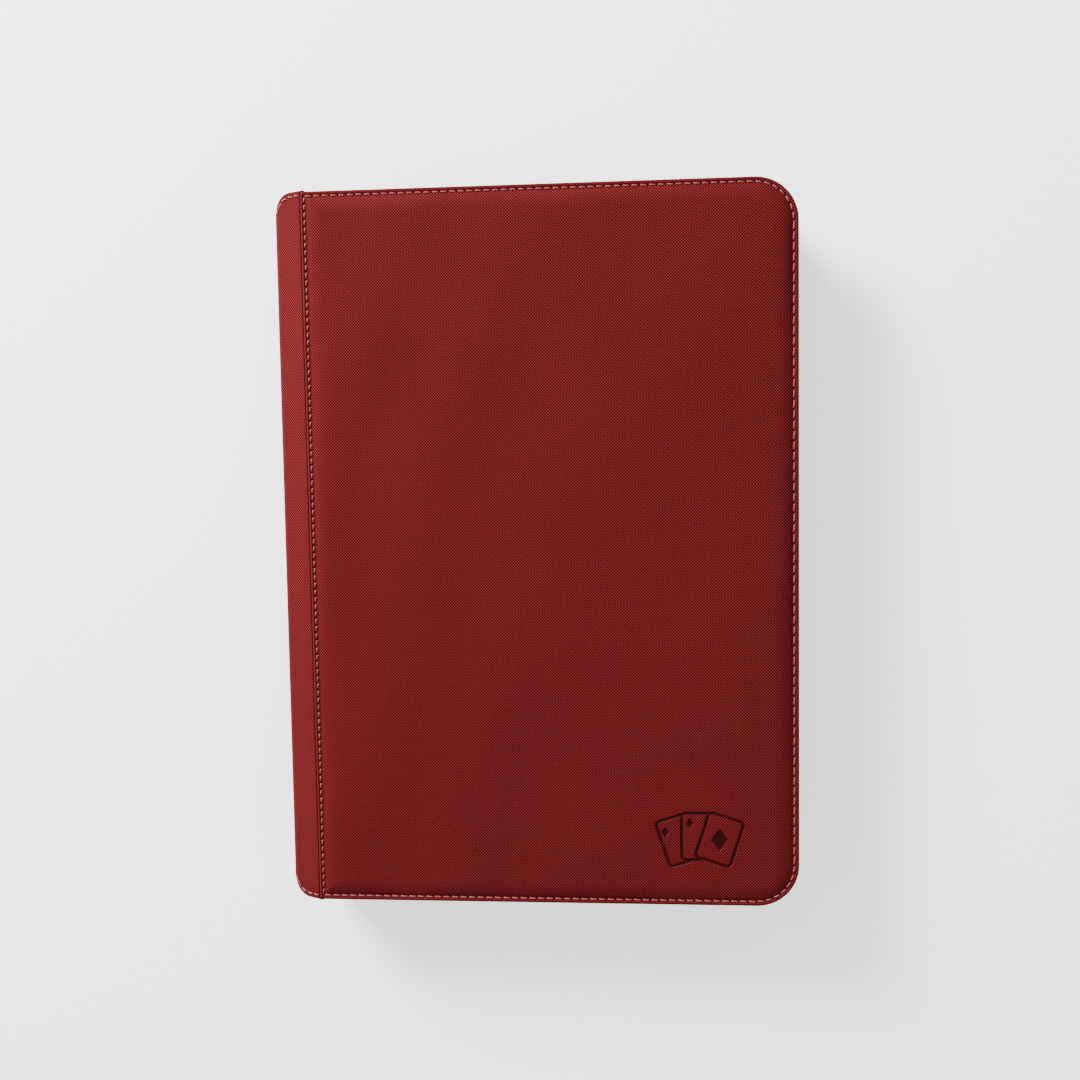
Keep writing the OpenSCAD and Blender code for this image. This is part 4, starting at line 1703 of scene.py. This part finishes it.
@dataclass(frozen=True)
class ZipSlider:
    """The slider: two waisted plates, lips round the back row and an arched bridge."""

    plate_t: float = 0.9
    plate_gap: float = 1.4
    plate_bevel: float = 0.22
    bridge_w: float = 2.2
    bridge_t: float = 0.8
    bridge_half_l: float = 3.2
    bridge_foot: float = 0.95
    bridge_bevel: float = 0.16
    lip_t: float = 0.8
    lip_rise: float = 0.55
    lip_bevel: float = 0.12
    lip_set_back: tuple[float, float] = (0.8, 0.4)
    lip_reach: tuple[float, float] = (0.75, 1.5)

    def plates(self, y_tape: float) -> list[bpy.types.Object]:
        """Builds the two plates, wide at the mouth and narrower behind."""
        a, b = low("zip_slider"), high("zip_slider")
        z_mid = SIZES.z_mid
        x = np.array([0.0, 0.06, 0.2, 0.45, 0.62, 0.85, 0.97, 1.0]) * (b[0] - a[0])
        w = np.array([0.62, 0.88, 1.0, 0.95, 0.8, 0.76, 0.66, 0.5])
        outline = np.concatenate([
            np.column_stack([x, -w * (z_mid - a[2])]),
            np.column_stack([x, w * (b[2] - z_mid)])[::-1],
        ])
        reach = self.plate_gap + self.plate_t / 2
        return [
            plate_object(f"slider_{label}", [outline], self.plate_t, self.plate_bevel,
                         (a[0], y_tape + sign * reach, z_mid), upright=True)
            for label, sign in (("outer", -1), ("inner", 1))
        ]

    def bridge(self) -> bpy.types.Object:
        """Builds the arched bridge over the puller's bar."""
        pivot = hinge("puller_swing")
        base = pivot[1] + self.bridge_foot
        rise = base - low("zip_slider")[1]
        turn = np.radians(np.linspace(0, 180, 17))
        cos, sin = np.cos(turn), np.sin(turn)
        across = self.bridge_half_l * cos / np.maximum(np.abs(cos), sin) ** 0.35
        across = np.clip(across, -self.bridge_half_l, self.bridge_half_l)
        height = sin ** 0.6
        outer = np.column_stack([across, base - height * rise])
        inner = np.column_stack([across * 0.72, base - height * (rise - self.bridge_t)])
        loop = np.concatenate([outer, inner[::-1]])
        origin = (pivot[0], 0.0, SIZES.z_mid)
        return plate_object("slider_bridge", [loop], self.bridge_w, self.bridge_bevel, origin)

    def lips(self, y_tape: float) -> list[bpy.types.Object]:
        """Builds the lips that hold the slider on the back row of loops."""
        a, b = low("zip_slider"), high("zip_slider")
        x0, x1 = a[0] + self.lip_set_back[0], b[0] - self.lip_set_back[1]
        near, far = self.lip_reach
        origin = (0.0, 0.0, a[2] + self.lip_rise)
        made = []
        for label, y0, y1 in (("outer", -far, -near), ("inner", near, far)):
            loop = [0.0, y_tape] + np.array([(x0, y0), (x1, y0), (x1, y1), (x0, y1)])
            name = f"slider_lip_{label}"
            made.append(plate_object(name, [loop], self.lip_t, self.lip_bevel, origin))
        return made

    def build(self) -> None:
        """Casts the slider as one piece."""
        y_tape = SIZES.zip_inset - SIZES.half_h
        parts = [*self.plates(y_tape), self.bridge(), *self.lips(y_tape)]
        piece = join_objects("zip_slider_body", parts)
        settle(piece, "slider", "zip_metal", "zip_slider")


@dataclass(frozen=True)
class ZipPuller:
    """The puller: a bar, two arms and a drop-shaped grip with a hole."""

    thick: float = 1.032
    bevel: float = 0.2
    neck: float = 4.8
    shoulder: float = 7.3
    end_r: float = 0.35
    bar_r: float = 0.58
    window_from: float = 0.62
    window_half_w: float = 1.55

    def build(self) -> None:
        """Makes the puller, which swings on its bar."""
        pivot, z_mid = hinge("puller_swing"), SIZES.z_mid
        half_w = float(high("zip_puller")[2] - z_mid)
        grip_r = half_w * 0.98
        grip_x = high("zip_puller")[0] - pivot[0] - grip_r
        end_x, end_z = 0.25, half_w - self.end_r
        outer = np.concatenate([
            arc((end_x, -end_z), self.end_r, 180, 270, 4),
            [(self.neck, -half_w), (self.shoulder, -half_w * 0.86)],
            arc((grip_x, 0), grip_r, -75, 75, 18),
            [(self.shoulder, half_w * 0.86), (self.neck, half_w)],
            arc((end_x, end_z), self.end_r, 90, 180, 4),
        ])
        half_window = [
            (self.window_from, self.window_half_w), (self.neck - 0.2, self.window_half_w),
            (self.neck + 0.4, 0.8),
        ]
        window = np.array([(x, -z) for x, z in half_window] + half_window[::-1])
        hole = arc((grip_x, 0), half_w * 0.5, 0, 345, 23)
        grip = plate_object("puller_grip", [outer, window, hole], self.thick, self.bevel,
                            (pivot[0], pivot[1], z_mid), upright=True)
        bar = np.array([[
            (pivot[0], pivot[1], z_mid + z) for z in np.linspace(0.1 - half_w, half_w - 0.1, 5)
        ]])
        rod = build_object("puller_bar", [tube_patch(bar, self.bar_r, ZINC, 14)])
        piece = join_objects("zip_puller_grip", [grip, rod])
        settle(piece, "puller", "zip_metal", "zip_puller")


# ---------------------------------------------------------------- pages


@dataclass(frozen=True)
class PocketPage:
    """A page: a black sheet with nine welded pockets of clear film on each face."""

    number: int
    sheet_t: float = 0.24
    corner_r: float = 4.0
    film_from: float = 0.13
    film_rise: float = 0.15
    film_past_fold: float = 3.5
    film_margin: float = 1.0
    # the films are cut from different places on the roll, so their waves differ
    film_shift: tuple[float, float] = (31.0, 17.0)
    weld_w: float = 2.4
    fold_lead: float = 0.4
    fold_w: float = 1.3
    fold_lines: tuple[float, ...] = (-0.9, -0.5, -0.2, 0.1, 0.4, 0.7, 1.0, 1.4, 2.0, 4.0)

    @property
    def node(self) -> str:
        """The page's CAD node."""
        return f"page_{self.number:02d}"

    @property
    def leaf(self) -> str:
        """The body of the page beyond its fold."""
        return f"leaf_{self.number:02d}"

    def fold(self) -> Array:
        """Returns the place of the page's fold."""
        return hinge(f"{self.leaf}_turn")

    def sheet_patch(self) -> Patch:
        """Builds the black sheet as a closed thin slab that starts at its bound margin."""
        b, fold = high(self.node), self.fold()
        # close lines over the fold, where the sheet bends
        near = fold[0] + np.array(self.fold_lines)
        xs = np.concatenate([near, np.linspace(near[-1] + 8, b[0], 12)])
        into = np.clip(xs - (b[0] - self.corner_r), 0, self.corner_r)
        reach = b[1] - self.corner_r + np.sqrt(self.corner_r ** 2 - into ** 2)
        y = reach[:, None] * np.linspace(-1, 1, 9)[None, :]
        faces = [
            np.stack(np.broadcast_arrays(xs[:, None], y, fold[2] + z), axis=-1)
            for z in (self.sheet_t / 2, -self.sheet_t / 2)
        ]
        return slab_patch(*faces, faces[0][..., :2], SHEET)

    def pocket_lines(self, start: float, end: float) -> tuple[Array, Array, Array]:
        """Returns grid lines over three pockets, with each line's place in its pocket.

        Args:
            start: Where the first pocket begins.
            end: Where the last pocket ends.

        Returns:
            The lines, the share of a pocket at each, and the distance to the nearest weld.
        """
        width = (end - start) / 3
        w = self.weld_w / 2
        inside = np.array([0, 0.35, 0.7, 0.99])
        cell = np.concatenate([
            inside * w, [w, w + 0.8, w + 3, w + 8], np.linspace(w + 16, width - w - 16, 4),
            [width - w - 8, width - w - 3, width - w - 0.8, width - w], width - inside[::-1] * w,
        ])
        lines, share, off = [], [], []
        for k in range(3):
            lines.append(start + k * width + cell)
            share.append(cell / width)
            off.append(np.minimum(cell, width - cell) - w)
        return np.concatenate(lines), np.concatenate(share), np.concatenate(off)

    def film_patch(self, sign: int) -> Patch:
        """Builds the film on one face, puffed up a little over each pocket.

        Args:
            sign: 1 for the upper face and -1 for the lower.

        Returns:
            The patch.
        """
        a, b, fold = low(self.node), high(self.node), self.fold()
        margin = self.film_margin
        xs, share_x, off_x = self.pocket_lines(a[0] + self.film_past_fold, b[0] - margin)
        ys, _, off_y = self.pocket_lines(a[1] + margin, b[1] - margin)
        # pockets load from the spine side, so the film is free along that border
        mouth = share_x < 0.5
        puff_x = smooth_step(np.where(mouth, off_x + 0.6, off_x), 0, 7)
        puff_y = smooth_step(off_y, 0, 7)
        rise = puff_x[:, None] * puff_y[None, :]
        welded = np.maximum(
            smooth_step(-np.where(mouth, np.inf, off_x), -0.2, 0.15)[:, None] * np.ones(len(ys)),
            smooth_step(-off_y, -0.2, 0.15)[None, :] * np.ones((len(xs), 1)),
        )
        z = fold[2] + sign * (self.film_from + self.film_rise * rise)
        gx, gy = np.meshgrid(xs, ys, indexing="ij")
        points = np.stack([gx, gy, z], axis=-1)
        flat = points[..., :2] + np.array(self.film_shift) * [self.number, sign]
        return grid_patch(points, flat, FILM, {"welded": welded})

    def build(self) -> None:
        """Makes the page's sheet and both films as one piece."""
        patches = [self.sheet_patch(), self.film_patch(1), self.film_patch(-1)]
        piece = build_object(f"pocket_{self.node}", patches, 30.0)
        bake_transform(piece)
        finish_piece(piece, "page_sheet", self.node)


@dataclass(frozen=True)
class PageBlock:
    """The bound block: pages, felt spacers, clamped margins and posts."""

    count: int = 20

    def build(self) -> None:
        """Builds the pages and dresses the binding."""
        for number in range(1, self.count + 1):
            PocketPage(number).build()
        dress_node("binding_spacers", FELT)
        dress_node("binding_margins", SHEET_EDGE)
        dress_node("binding_posts", ZINC)


# ---------------------------------------------------------------- studio


@dataclass(frozen=True)
class Studio:
    """The pale floor, the soft lights and the camera."""

    target_mm: tuple[float, float, float] = (2.2, 5.1, 44.0)
    distance_mm: float = 600.0
    tilt_x_deg: float = 5.08
    tilt_y_deg: float = 4.28
    roll_deg: float = -0.9
    lens_mm: float = 42.5
    floor_half_mm: float = 2500.0
    floor_drop_mm: float = 0.05
    surroundings: float = 0.7

    def build_floor(self) -> None:
        """Makes the floor as a gently subdivided sheet."""
        lines = np.linspace(-self.floor_half_mm, self.floor_half_mm, 21)
        gx, gy = np.meshgrid(lines, lines, indexing="ij")
        points = np.stack([gx, gy, np.full(gx.shape, -self.floor_drop_mm)], axis=-1)
        floor = build_object("studio_floor", [grid_patch(points, points[..., :2], FLOOR)])

    def build_camera(self) -> None:
        """Sets the camera over the front cover, a little towards the head and fore-edge."""
        target = Vector(self.target_mm) * MM
        aim = Vector((
            math.tan(math.radians(self.tilt_x_deg)), math.tan(math.radians(self.tilt_y_deg)), 1.0
        )).normalized()
        data = bpy.data.cameras.new("studio_camera")
        data.lens = self.lens_mm
        data.sensor_width = 36.0
        camera = bpy.data.objects.new("studio_camera", data)
        roll = math.radians(self.roll_deg)
        up = Vector((-math.sin(roll), math.cos(roll), 0.0))
        right = up.cross(aim).normalized()
        true_up = aim.cross(right)
        place = camera.matrix_world.copy()
        for row in range(3):
            place[row][0], place[row][1], place[row][2] = right[row], true_up[row], aim[row]
            place[row][3] = target[row] + aim[row] * self.distance_mm * MM
        camera.matrix_world = place
        bpy.context.scene.collection.objects.link(camera)
        bpy.context.scene.camera = camera

    def add_softbox(
        self, name: str, place: tuple[float, float, float], size: float, power: float
    ) -> None:
        """Adds a square softbox that looks at the binder.

        Args:
            name: The light's name.
            place: Where it stands, in metres.
            size: Its width, in metres.
            power: Its power, in watts.
        """
        data = bpy.data.lights.new(name, "AREA")
        data.shape = "SQUARE"
        data.size = size
        data.energy = power
        light = bpy.data.objects.new(name, data)
        light.location = place
        light.rotation_euler = (-Vector(place)).to_track_quat("-Z", "Y").to_euler()
        bpy.context.scene.collection.objects.link(light)

    def build(self) -> None:
        """Builds the floor, the camera, the softboxes and the even surroundings."""
        self.build_floor()
        self.build_camera()
        self.add_softbox("key_softbox", (-1.0, 1.12, 0.84), 0.6, 112.0)
        self.add_softbox("fill_softbox", (1.3, -0.9, 1.6), 1.4, 8.0)
        world = bpy.data.worlds.new("studio_surroundings")
        world.use_nodes = True
        background = world.node_tree.nodes["Background"]
        background.inputs["Color"].default_value = srgb("ffffff")
        background.inputs["Strength"].default_value = self.surroundings
        bpy.context.scene.world = world


# ---------------------------------------------------------------- assembly


def main() -> None:
    """Builds the studio and the binder's sub-assemblies in order."""
    logging.basicConfig(level=logging.INFO, format="%(name)s: %(message)s")
    Studio().build()
    PaddedCover(Side.BACK, crown=0.5, seed=11).build()
    PaddedCover(Side.FRONT, ornament=CardFanOrnament(), seed=7).build()
    FoldingSpine().build()
    CoilZip().build()
    ZipSlider().build()
    ZipPuller().build()
    PageBlock().build()


if __name__ == "__main__":
    main()
